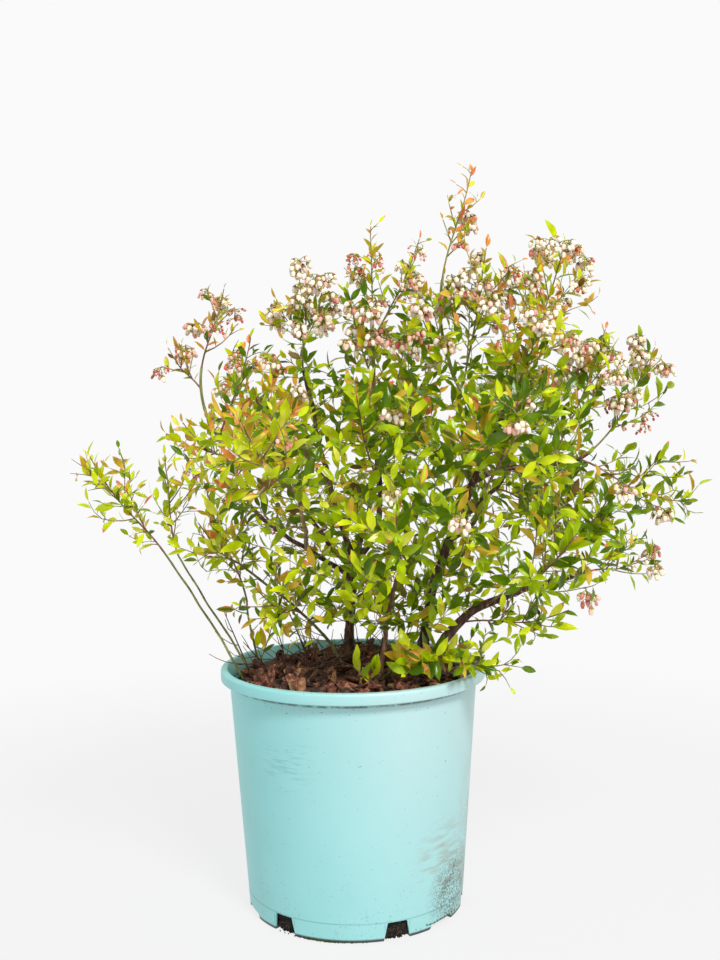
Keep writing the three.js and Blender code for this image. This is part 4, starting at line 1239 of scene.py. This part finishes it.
def growSpray(stem):
    random = seeded(spray["firstSeed"] + stem["index"])
    rng = np.random.default_rng(100 + stem["index"])
    start, lean, end, sweep = stem["line"]
    line = curve(start, lean, end, sweep, np.linspace(0, 1, 12))
    beyond = end + sweep * spray["leafRoom"] * stem["leafSize"] * 0.72
    tail = bowed(end, beyond, rng, 0.03)[1:]
    whole = np.vstack([stem["inside"], line, tail])
    radii = np.linspace(*finer["stemRadius"], len(whole)) * lerp(0.7, 1, stem["leafSize"])
    main = addShoot(stem, whole, radii, 0)
    twigs = []
    first, second = ringFrame(acrossOf(stem["points"]), stem["axis"])
    for k in range(stem["twigs"]):
        along = lerp(spray["firstTwig"], spray["lastTwig"], (k + 0.5) / stem["twigs"])
        turn = k * goldenTurn + random() * spray["turnMost"]
        twigLean = lerp(spray["leanLeast"], spray["leanMost"], random())
        way = unit(leaning(stem["axis"], first, second, turn, twigLean) + up * spray["lift"])
        root = onBranch(stem["points"], along)[0]
        twigEnd = growTwig(stem, root, way, stem["wide"] * spray["longest"])
        if twigEnd is not None:
            room = spray["leafRoom"] * stem["leafSize"] * 0.4
            twigs.append((root, twigEnd + way * room))
    for k in range(round(stem["twigs"] * finer["extraTwigs"] * min(stem["fill"], 1))):
        along = rng.uniform(0.05, 0.9)
        turn = (k + 0.5) * goldenTurn + rng.uniform(0, 1)
        way = unit(leaning(stem["axis"], first, second, turn, rng.uniform(0.45, 1.1)) + up * 0.35)
        root = onBranch(stem["points"], along)[0]
        twigEnd = growTwig(stem, root, way, stem["wide"] * rng.uniform(0.7, 1.3))
        if twigEnd is not None:
            twigs.append((root, twigEnd + way * spray["leafRoom"] * stem["leafSize"] * 0.3))
    carriers = [main]
    for root, twigEnd in twigs:
        points = bowed(root, twigEnd, rng)
        carriers.append(addShoot(stem, points, np.linspace(*finer["twigRadius"], len(points)), 1))
    places = freePlaces(stem, finer["cell"] / stem["fill"], rng)
    fillRoom(stem, [shoot["points"] for shoot in carriers], places)
    hangClusters(stem, rng)


def freePlaces(stem, cell, rng, others=()):
    # random places in a spray's space, well apart, the nearest to its stem first
    half, wide = stem["half"], stem["wide"]
    count = int(4 / 3 * math.pi * half * wide * wide / cell)
    ball = unit(rng.normal(0, 1, (count, 3))) * rng.random((count, 1)) ** (1 / 3)
    one, two = ringFrame(np.array([0.31, 0.9, 0.3]), stem["axis"])
    thinned = rng.random(count) < lerp(1, finer["tipThin"], np.clip(ball[:, 0], 0, 1))
    offsets = stem["axis"] * ball[:, :1] * half + one * ball[:, 1:2] * wide + two * ball[:, 2:] * wide
    places = stem["centre"] + offsets
    free = thinned & insideSpace(stem, places, 0.95) & clearOfPot(places) & clearOfWood(stem, places, 3)
    for other in others:
        free &= ~insideSpace(other, places)
    kept = []
    for place in places[free]:
        if all(norm(place - other) > finer["apart"] for other in kept):
            kept.append(place)
    along = stem["points"][np.linspace(0, len(stem["points"]) - 1, 4).astype(int)]
    kept.sort(key=lambda place: float(np.min(norm(along - place, axis=1))))
    return kept


def fillRoom(stem, carriers, places):  # a shoot towards each place, from the best spot on the wood
    spots, ways = [], []

    def offer(points, first):
        for share in np.linspace(first, 0.97, max(4, len(points) * 2)):
            spot, way = onBranch(points, share)
            spots.append(spot)
            ways.append(way)

    for points in carriers:
        offer(points, 0.08)
    for place in places:
        run = place - np.array(spots)
        distance = norm(run, axis=1)
        back = 1 - np.sum(unit(run) * np.array(ways), 1)
        cost = distance * (1 + finer["turnBack"] * back) + finer["downCost"] * np.maximum(-run[:, 2], 0)
        nearest = int(np.argmin(cost))
        if distance[nearest] < finer["shortest"] or distance[nearest] > 2.2 * finer["longest"]:
            continue
        root, way = spots[nearest], ways[nearest]
        reach = min(distance[nearest], finer["longest"])
        end = root + unit(run[nearest]) * reach
        leave = unit(unit(run[nearest]) * 0.6 + way * 0.4)
        steps = max(3, int(reach / 8) + 1)
        t = np.linspace(0, 1, steps)[:, None]
        knee = root + leave * reach * 0.5 - up * reach * 0.06
        points = (1 - t) ** 2 * root + 2 * t * (1 - t) * knee + t**2 * end
        addShoot(stem, points, np.linspace(*finer["shootRadius"], len(points)), 2)
        offer(points, 0.3)


def hangClusters(stem, rng):
    def reachAlong(shoot):  # the longest shoots at the far end come first
        return -float((shoot["points"][-1] - stem["centre"]) @ stem["axis"]) - shoot["length"]

    share = finer["clusterShare"][int(stem["tip"][2] > greenHeight)]
    wanted = finer["clustersOf"].get(stem["name"], round(stem["blooms"] * share + rng.uniform(-0.2, 0.3)))
    ends = [shoot for shoot in shoots if shoot["stem"] is stem and shoot["rank"] > 0]
    ends.sort(key=reachAlong)
    for shoot in ends:
        if wanted <= 0:
            return
        if shoot["length"] < 13:
            continue
        end = shoot["points"][-1]
        taken = any(norm(spot - end) < 16 for spot, _, _ in clusters)
        bare = stem["name"] in finer["bareTips"] and norm(end - stem["tip"]) < 48
        if taken or bare or not roomFor(stem, [end - up * 14]):
            continue
        shoot["flowering"] = True
        clusters.append((end, unit(shoot["points"][-1] - shoot["points"][-2]), stem))
        wanted -= 1


def openRoom(name, centre, half, wide):  # a rounded space without walls
    centre = np.array(centre, float)
    return {
        "name": name,
        "centre": centre,
        "axis": np.array([1.0, 0, 0]),
        "half": half,
        "wide": wide,
        "towards": np.zeros((1, 3)),
        "limits": np.array([1000.0]),
        "leafSize": 1,
        "tip": centre,
        "points": centre + np.array([[0, 0, -120], [0, 0, -40], [0, 0, 40]]),
    }


def growCore():
    rng = np.random.default_rng(9)
    room = openRoom("core", core["centre"], core["halfLength"], core["halfWidth"])
    carriers = []
    for name, limb in grown.items():
        points = curve(*limb["line"], np.linspace(0, 1, 16))
        points = points[points[:, 2] > core["lowest"]]
        if name not in core["bare"] and len(points) > 2:
            carriers.append(points)
    fillRoom(room, carriers, freePlaces(room, core["cell"], rng, stems))


lowShoots = {  # of the low stems: how many, least and most length, headings in degrees from +X
    "stem_over_rim": (18, 24, 52, -125, 15),
    "stem_low_left": (5, 22, 44, -180, 0),
    "stem_centre": (3, 22, 44, -150, 30),
    "shoot_left": (3, 16, 30, -200, -20),
}
sprigs = [  # single leafy shoots out of the mix: foot, tip
    ((9, -64), (5, -70, 256)),
    ((9, -64), (22, -72, 250)),
    ((-103, 30), (-78, 12, 292)),
]


def growLowShoots():
    rng = np.random.default_rng(14)
    room = openRoom("low", (10, -20, 290), 220, 160)
    for name, (count, least, most, west, east) in lowShoots.items():
        points = curve(*grown[name]["line"], np.linspace(0, 1, 16))
        for k in range(count):
            root = onBranch(points, lerp(0.22, 0.98, (k + 0.5) / count))[0]
            for _ in range(6):
                heading = math.radians(rng.uniform(west, east))
                way = unit(polar(1, heading, rng.uniform(-0.15, 0.5)))
                end = root + way * rng.uniform(least, most)
                if clearOfPot(np.array([end, lerp(root, end, 0.6)])).all():
                    line = bowed(root, end, rng)
                    addShoot(room, line, np.linspace(0.7, 0.4, len(line)), 2)
                    break
    for foot, tip in sprigs:
        root = np.array([*foot, mixHeight(*foot) - 2])
        points = bowed(root, np.array(tip, float), rng)
        addShoot(room, points, np.linspace(0.8, 0.4, len(points)), 1)


for stem in stems:
    growSpray(stem)
growCore()
growLowShoots()
print("shoots", len(shoots), "clusters", len(clusters))


# Twigs

for name, material, sides, rank, isGreen in (
    ("spray_stems_brown", redBrownBark, 7, 0, False),
    ("spray_stems_green", oliveBark, 7, 0, True),
    ("spray_twigs_brown", tanBark, 6, 1, False),
    ("spray_twigs_green", greenRind, 6, 1, True),
    ("spray_shoots_olive", oliveBark, 5, 2, False),
    ("spray_shoots_green", greenRind, 5, 2, True),
):
    paths = [
        (shoot["points"], shoot["radii"])
        for shoot in shoots
        if shoot["rank"] == rank and isGreenCane(shoot["stem"]) == isGreen
    ]
    addPiece(name, *tubesMesh(paths, sides), [material], "young_bark", sprayNames)


bareTwigs = {  # fine leafless twigs in the shade under and inside the crown
    "limbs": {
        "trunk_right": (16, 0.3, 1),
        "trunk_left": (16, 0.4, 1),
        "stem_centre": (12, 0.25, 1),
        "stem_low_left": (9, 0.3, 1),
        "bough_right": (8, 0.3, 0.95),
        "arm_left": (10, 0, 1),
        "arm_centre": (6, 0, 1),
        "cane_pale": (7, 0, 0.7),
        "bough_front_left": (6, 0.1, 1),
        "bough_front_right": (6, 0.1, 1),
        "bough_back": (5, 0, 1),
    },
    "length": (26, 62),
    "radius": (0.55, 0.26),
    "side": 3,  # most side twigs on each
    "sideLength": (8, 26),
    "sideRadius": (0.34, 0.2),
}


def makeBareTwigs():
    rng = np.random.default_rng(63)
    paths = []
    for name, (count, first, last) in bareTwigs["limbs"].items():
        line = curve(*grown[name]["line"], np.linspace(0, 1, 24))
        for k in range(count):
            root, way = onBranch(line, lerp(first, last, (k + rng.random()) / count))
            heading = rng.uniform(0, 2 * math.pi)
            out = unit(unit(way) * 0.5 + polar(1, heading, rng.uniform(0, 0.7)))
            end = root + out * rng.uniform(*bareTwigs["length"])
            if not clearOfPot(np.array([end, lerp(root, end, 0.5)])).all():
                continue
            twig = bowed(root, end, rng, 0.12)
            paths.append((twig, np.linspace(*bareTwigs["radius"], len(twig))))
            for _ in range(rng.integers(0, bareTwigs["side"] + 1)):
                start = onBranch(twig, rng.uniform(0.3, 0.95))[0]
                run = unit(out + rng.normal(0, 0.5, 3)) * rng.uniform(*bareTwigs["sideLength"])
                small = bowed(start, start + run, rng, 0.12)
                paths.append((small, np.linspace(*bareTwigs["sideRadius"], len(small))))
    addPiece("bare_twigs", *tubesMesh(paths, 5), [redBrownBark], "bark", list(bareTwigs["limbs"]))


makeBareTwigs()


# Leaves

tintNames = list(leafTints)

bladeTints = {  # shares of the first six tints: deep, green, lime, pale, olive and bronze
    "inner": (0.4, 0.36, 0.19, 0, 0.05, 0),
    "low": (0.38, 0.36, 0.18, 0.03, 0.05, 0),
    "mid": (0.17, 0.31, 0.35, 0.07, 0.09, 0.01),
    "left": (0.08, 0.24, 0.42, 0.15, 0.1, 0.01),
    "top": (0.14, 0.18, 0.22, 0.1, 0.27, 0.09),
    "tip": (0, 0.06, 0.18, 0.12, 0.34, 0.3),
}


def tintsOf(stem, place, share, rng):  # of the blade, its margins and its tip
    outness = norm((place - crownMiddle) / crownReach)
    high = place[2] > (460 if place[0] < 100 else 500) + 60 * rng.random()
    left = place[0] < -50 and place[2] > 370 + 50 * rng.random()
    kind = "top" if high else "left" if left else "mid" if place[0] < 40 + 90 * rng.random() else "low"
    if outness < 0.6:
        kind = "inner"
    tender = {"inner": 0.02, "low": 0.1, "mid": 0.16, "left": 0.5, "top": 0.7}[kind]
    if stem["name"] in leafShape["slimSprays"] or rng.random() < tender * max(share - 0.7, 0) * 2.2:
        kind = "tip"
    shares = bladeTints[kind]
    blade = rng.choice(tintNames[: len(shares)], p=shares)
    if rng.random() < 0.012:
        blade = "spent"
    if kind == "tip" and rng.random() < 0.25:
        blade = "copper"
    edge = "bronze" if rng.random() < leafShape["edged"] * tender else blade
    drawn = rng.random() / (tender * lerp(0.6, 1.4, share))
    tipped = leafShape["tipped"]
    tip = "copper" if drawn < tipped * 0.6 else "bronze" if drawn < tipped else blade
    return [tintNames.index(tint) for tint in (blade, edge, tip)]


def growLeaves():
    rng = np.random.default_rng(31)
    rows = []
    low, high = (np.array(corner[:]) / mm for corner in cadBox)
    for shoot in shoots:
        stem, points, rank = shoot["stem"], shoot["points"], shoot["rank"]
        first = (0.2 if stem["leafSize"] < 0.8 else 0.42, 0.3, 0.3)[rank]
        count = max(2, int(shoot["length"] * (1 - first) / leafShape["spacing"]))
        turn = rng.uniform(0, 6.28)
        across = acrossOf(points)
        for k in range(count):
            share = k / max(count - 1, 1)
            last = k == count - 1
            if shoot.get("flowering") and share > 0.75:
                continue
            root, way = onBranch(points, lerp(first, 1, share))
            one, two = ringFrame(across, way)
            turn += goldenTurn + rng.normal(0, 0.25)
            lean = rng.uniform(*leafShape["lastLean" if last else "lean"])
            lean *= 1 if last else lerp(1.05, 0.75, share)
            along = leaning(way, one, two, turn, lean)
            along = unit(along + up * leafShape["lift"] * rng.uniform(0.2, 1.5))
            size = lerp(0.72, 1, min(share * 2.2, 1)) * lerp(1, 0.62, max(share - 0.7, 0) / 0.3)
            size *= 1 + rng.uniform(-1, 1) * leafShape["spread"]
            eastward = np.clip((root[0] + 100) / 300, 0, 1)
            upward = np.clip((root[2] - 500) / 120, 0, 1)
            length = lerp(*leafShape["length"], eastward) * size * lerp(0.62, 1, stem["leafSize"])
            length *= leafShape["ownSize"].get(stem["name"], 1)
            length *= lerp(1, leafShape["highSize"], upward)
            end = root + along * length
            spots = np.array([end, root + along * length * 0.5])
            if not np.all(insideSpace(stem, spots, 1.04) & clearOfPot(spots)):
                continue
            if np.any(end < low - 6) or np.any(end > high + 6):
                continue
            out = unit(np.array([root[0] - crownMiddle[0], root[1], 0]) + 1e-6)
            fore = np.array([0, -0.5 if root[1] < 40 else 0.5, 0])
            face = way * 0.5 + up * 0.6 + out * 0.65 + fore + rng.normal(0, 0.36, 3)
            rows.append((root, along, face, length, *tintsOf(stem, root, share, rng)))
    return rows, rng


def leafMesh(rows, rng):
    roots, alongs, faces3 = (np.array([row[i] for row in rows]) for i in range(3))
    lengths = np.array([row[3] for row in rows])
    n = len(rows)
    sides = unit(np.cross(faces3, alongs))
    normals = np.cross(alongs, sides)
    stations, widths = np.array(leafShape["stations"]), np.array(leafShape["widths"])
    across = np.array([-1, -0.5, 0, 0.5, 1])
    fold = rng.uniform(*leafShape["fold"], n)[:, None, None]
    arch = rng.uniform(*leafShape["arch"], n)[:, None]
    width = lengths * leafShape["widthShare"] * rng.uniform(0.85, 1.12, n) / 2
    bend = arch * stations[None]
    steps = np.diff(stations)[None]
    middle = (bend[:, 1:] + bend[:, :-1]) / 2
    x = np.concatenate([np.zeros((n, 1)), np.cumsum(np.cos(middle) * steps, 1)], 1) * lengths[:, None]
    z = -np.concatenate([np.zeros((n, 1)), np.cumsum(np.sin(middle) * steps, 1)], 1) * lengths[:, None]
    half = width[:, None, None] * widths[None, :, None]
    wave = np.sin(stations[None, :, None] * 9 + rng.uniform(0, 6.3, n)[:, None, None]) * 0.1
    y = half * across * np.cos(fold)
    rise = half * (np.abs(across) * np.sin(fold) + across**2 * wave * rng.choice([-1, 1], (n, 1, 1)))
    lift = z[:, :, None] + rise
    points = (
        roots[:, None, None]
        + alongs[:, None, None] * x[:, :, None, None]
        + sides[:, None, None] * y[..., None]
        + normals[:, None, None] * lift[..., None]
    )
    row = len(across)
    cells = [(i, j) for i in range(len(stations) - 1) for j in range(row - 1)]
    corners = (0, 1, row + 1, row)
    blade = [[i * row + j + corner for corner in corners] for i, j in cells]
    faces = copiedFaces(blade, row * len(stations), n)
    part = [6 if i == len(stations) - 2 else 5 if j in (0, 3) and i > 0 else 4 for i, j in cells]
    tints = [leaf[k] for leaf in rows for k in part]
    return points.reshape(-1, 3), faces, tints


leafRows, leafRng = growLeaves()
cuts = [k * len(leafRows) // leafShape["pieces"] for k in range(leafShape["pieces"] + 1)]
for k in range(leafShape["pieces"]):
    points, faces, tints = leafMesh(leafRows[cuts[k] : cuts[k + 1]], leafRng)
    materials = [leafMaterials[tint] for tint in tintNames]
    addPiece("leaves_%d" % (k + 1), points, faces, materials, "foliage", sprayNames, tints)
print("leaves", len(leafRows))


# Flowers: urn-shaped bells in hanging clusters

flower = {
    "bells": (11, 19),
    "length": 6.6,
    "radius": 2.45,
    "sides": 10,
    "profile": (  # share of the length, share of the radius
        *((0, 0.3), (0.04, 0.72), (0.2, 0.95), (0.48, 1)),
        *((0.72, 0.86), (0.88, 0.6), (0.97, 0.66), (0.9, 0.42)),
    ),
    "calyxProfile": ((0, 0.25), (0.3, 0.8), (0.75, 1), (1.05, 1.25), (0.8, 0.8)),
    "calyxLength": 2.6,
    "calyxRadius": 1.9,
    "pedicel": (3, 6.5),
    "stalkRadii": (0.35, 0.32, 0.35, 0.5),
    "open": (0.72, 0.22, 0.06),  # shares of cream, blush and rose bells in an open cluster
    "inBud": (0.08, 0.38, 0.54),  # and in one that is still in bud
    "hang": 0.75,  # how strongly the bells turn down
    "budding": 0.18,  # share of clusters that are still in bud
    "buddingOf": {
        "spray_left_cluster": 0.85,
        "spray_left_spire": 0.6,
        "spray_left_inner": 0.85,
        "spray_left_upper": 0.9,
        "spray_right_cluster": 0.55,
        "spray_leader_top": 0.7,
        "spray_centre_slim": 0.85,
        "spray_centre_tall": 0.6,
    },
}


def bellMesh(rows, sides, profile, lobes):
    turns = ringTurns(sides)
    axes = unit(np.array([row[1] for row in rows]))
    bases = np.array([row[0] for row in rows])
    lengths = np.array([row[2] for row in rows])
    radii = np.array([row[3] for row in rows])
    ones = unit(np.cross(axes, [0.3, 0.9, 0.31]))
    twos = np.cross(axes, ones)
    points = []
    for k, (along, wide) in enumerate(profile):
        lobe = 1 + (lobes * np.cos(turns * 5) if k >= len(profile) - 2 else 0 * turns)
        ring = bases[:, None] + axes[:, None] * (along * lengths)[:, None, None]
        spoke = ones[:, None] * np.cos(turns)[:, None] + twos[:, None] * np.sin(turns)[:, None]
        points.append(ring + spoke * (radii[:, None] * wide * lobe)[..., None])
    points = np.stack(points, 1)
    count = len(profile) * sides
    faces = copiedFaces(gridFaces(len(profile), sides), count, len(rows))
    for i in range(len(rows)):
        faces.append(list(range(i * count + sides - 1, i * count - 1, -1)))
        faces.append(list(range(i * count + count - sides, i * count + count)))
    return points.reshape(-1, 3), faces


def makeFlowers():
    rng = np.random.default_rng(77)
    bells = {"cream": [], "blush": [], "rose": []}
    calyxes, stalks = [], []
    for end, way, stem in clusters:
        budding = rng.random() < flower["buddingOf"].get(stem["name"], flower["budding"])
        count = int(rng.integers(*flower["bells"]) * (0.65 if budding else 1))
        hangLine = unit(way * 0.35 - up * 0.9 + rng.normal(0, 0.25, 3))
        rachis = bowed(end, end + hangLine * rng.uniform(8, 15), rng, 0.1)
        stalks.append((rachis, np.linspace(0.55, 0.4, len(rachis))))
        heading = rng.uniform(0, 6.28)
        for k in range(count):
            heading += goldenTurn
            root = onBranch(rachis, rng.uniform(0, 1))[0]
            spread = rng.uniform(0.5, 1.5)
            out = unit(polar(spread, heading, rng.uniform(-0.7, 0.35)))
            length = rng.uniform(*flower["pedicel"])
            knee = root + out * length
            hang = unit(out * (1 - flower["hang"]) - up * flower["hang"] + rng.normal(0, 0.2, 3))
            foot = knee + unit(out + hang) * 2
            stalk = np.array([root, lerp(root, knee, 0.6), knee, foot])
            stalks.append((stalk, np.array(flower["stalkRadii"])))
            size = rng.uniform(0.8, 1.05) * (rng.uniform(0.55, 0.85) if budding else 1)
            kind = rng.choice(list(bells), p=flower["inBud" if budding else "open"])
            if kind == "rose":
                size *= 0.8
            bells[kind].append((foot + hang * 1.3, hang, flower["length"] * size, flower["radius"] * size))
            calyxSize = (flower["calyxLength"] * size, flower["calyxRadius"] * size)
            calyxes.append((foot - hang * 0.8, hang, *calyxSize))
    petals = {"cream": petalCream, "blush": petalBlush, "rose": petalRose}
    for kind, rows in bells.items():
        mesh = bellMesh(rows, flower["sides"], flower["profile"], 0.2)
        addPiece("bells_" + kind, *mesh, [petals[kind]], "foliage", sprayNames)
    for k, material in enumerate((sepalGreen, sepalRed)):
        mesh = bellMesh(calyxes[k::2], flower["sides"], flower["calyxProfile"], 0.3)
        addPiece(("calyxes_green", "calyxes_red")[k], *mesh, [material], "foliage", sprayNames)
    addPiece("flower_stalks", *tubesMesh(stalks, 5), [greenRind], "foliage", sprayNames)
    print("bells", sum(len(rows) for rows in bells.values()))


makeFlowers()


# Bare dead twigs among the canes' feet, some of them lying over the mulch

deadTwigs = {
    "standing": (17, (-14, 0), (80, 42), (30, 90)),  # how many, middle, spread and length
    "lying": (18, (-52, 2), (44, 36), (40, 85)),
    "radius": (1.15, 0.4),
    "side": (2, 6),  # side twigs on each
    "lift": 7,  # of a lying twig over the mulch
}


def makeDeadTwigs():
    rng = np.random.default_rng(12)
    paths = []

    def branched(points):
        paths.append((points, np.linspace(*deadTwigs["radius"], len(points))))
        way = unit(points[-1] - points[0])
        for _ in range(rng.integers(*deadTwigs["side"])):
            start = onBranch(points, rng.uniform(0.2, 0.95))[0]
            out = unit(way + rng.normal(0, 0.55, 3) + up * 0.3)
            small = bowed(start, start + out * rng.uniform(10, 38), rng, 0.16)
            paths.append((small, np.linspace(0.55, 0.28, len(small))))

    for kind in ("standing", "lying"):
        count, middle, spread, lengths = deadTwigs[kind]
        for _ in range(count):
            x, y = (middle[i] + rng.normal(0, 0.55) * spread[i] for i in (0, 1))
            root = np.array([x, y, mixHeight(x, y) - 2])
            lying = kind == "lying"
            run = [rng.normal(0.3, 0.7), rng.normal(0, 0.7), 0.15] if lying else [*rng.normal(0, 0.5, 2), 1]
            end = root + unit(run) * rng.uniform(*lengths)
            if lying:
                reach = np.hypot(*end[:2]) / (pot["rimRadius"] - pot["rimTopWidth"] - 4)
                end[:2] /= max(reach, 1)
                end[2] = mixHeight(*end[:2]) + rng.uniform(2, 2.5) * deadTwigs["lift"]
                root[2] += deadTwigs["lift"]
            branched(bowed(root, end, rng, -0.12 if lying else 0.1))
    addPiece("dead_twigs", *tubesMesh(paths, 5), [deadBark], "bark", ["stem_centre"])


makeDeadTwigs()
print("flowers and dead twigs made")


# Floor, light and camera

studio = {  # places and sizes in metres
    "floor": "#b4b4b4",
    "floorCorners": ((-6, -4, 0), (6, -4, 0), (6, 8, 0), (-6, 8, 0)),
    "backdrop": 0.955,  # brightness of the white behind the plant
    "room": 0.36,  # and of the room on the camera's side
    "floorGlow": 0.84,  # share of the backdrop's light in the floor under the plant
    "floorReach": (0.4, 1.3),  # from the pot, over which the floor turns into backdrop
    "lampsAim": (0.03, 0, 0.36),
    "lamps": {  # watts, place and size of each soft box
        "key": (90, (0.8, -1.95, 2.35), 0.7),
        "panel": (9, (1.25, -1.3, 0.45), 1.2),
        "fill": (15, (-1.6, -1.5, 1), 1.6),
    },
}

cameraAt = (0.0098, -1.1464, 0.4849)  # metres
cameraPitch, cameraRoll = -2.99, -0.83  # degrees from level
cameraLens, cameraSensor = 42.98, 36


def lightFrom(tree, facing):  # the white backdrop stands behind the plant, and the room is dimmer
    depth = addNode(tree, "ShaderNodeSeparateXYZ", {"Vector": facing}).outputs["Y"]
    levels = {"To Min": studio["room"], "To Max": studio["backdrop"]}
    strength = addNode(
        tree,
        "ShaderNodeMapRange",
        {"Value": depth, "From Min": -0.5, "From Max": 0.5, **levels},
        interpolation_type="SMOOTHSTEP",
    )
    return strength.outputs["Result"]


def makeStage():
    material, tree, place = newMaterial("paperSweep")
    away = addNode(tree, "ShaderNodeVectorMath", {0: place}, operation="LENGTH").outputs["Value"]
    low, high = studio["floorReach"]
    share = addNode(
        tree,
        "ShaderNodeMapRange",
        {"Value": away, "From Min": low, "From Max": high, "To Min": studio["floorGlow"], "To Max": 1},
        interpolation_type="SMOOTHSTEP",
    )
    facing = addNode(tree, "ShaderNodeVectorMath", {0: place}, operation="NORMALIZE").outputs["Vector"]
    sheet = addNode(tree, "ShaderNodeBsdfDiffuse", {"Color": linear(studio["floor"])})
    far = addNode(
        tree,
        "ShaderNodeMapRange",
        {"Value": away, "From Min": high, "From Max": 2 * high},
        interpolation_type="SMOOTHSTEP",
    )
    strength = addNode(
        tree, "ShaderNodeMix", {"Factor": far, "A": studio["backdrop"], "B": lightFrom(tree, facing)}
    )
    lit = addNode(tree, "ShaderNodeEmission", {"Color": (1, 1, 1, 1), "Strength": strength})
    both = addNode(tree, "ShaderNodeMixShader", {0: share, 1: sheet, 2: lit})
    addNode(tree, "ShaderNodeOutputMaterial", {"Surface": both})
    mesh = bpy.data.meshes.new("floor")
    mesh.from_pydata(studio["floorCorners"], [], [(0, 1, 2, 3)])
    mesh.materials.append(material)
    newObject("floor", mesh)
    world = bpy.data.worlds.new("studio")
    world.use_nodes = True
    sky = world.node_tree
    facing = addNode(sky, "ShaderNodeTexCoord").outputs["Generated"]
    background = sky.nodes["Background"]
    background.inputs["Color"].default_value = (1, 1, 1, 1)
    sky.links.new(lightFrom(sky, facing), background.inputs["Strength"])
    bpy.context.scene.world = world
    for name, (power, at, size) in studio["lamps"].items():
        lamp = bpy.data.lights.new(name, "AREA")
        lamp.energy, lamp.size = power, size
        light = newObject(name, lamp)
        light.location = at
        aim = Vector(studio["lampsAim"]) - Vector(at)
        light.rotation_euler = aim.to_track_quat("-Z", "Y").to_euler()


def makeCamera():
    view = bpy.data.cameras.new("view")
    view.lens, view.sensor_width = cameraLens, cameraSensor
    camera = newObject("view", view)
    pitch = Matrix.Rotation(math.radians(90 + cameraPitch), 4, "X")
    roll = Matrix.Rotation(math.radians(cameraRoll), 4, "Z")
    camera.matrix_world = Matrix.Translation(cameraAt) @ (pitch @ roll)
    bpy.context.scene.camera = camera


makeStage()
makeCamera()
bpy.context.scene.view_settings.view_transform = "Standard"
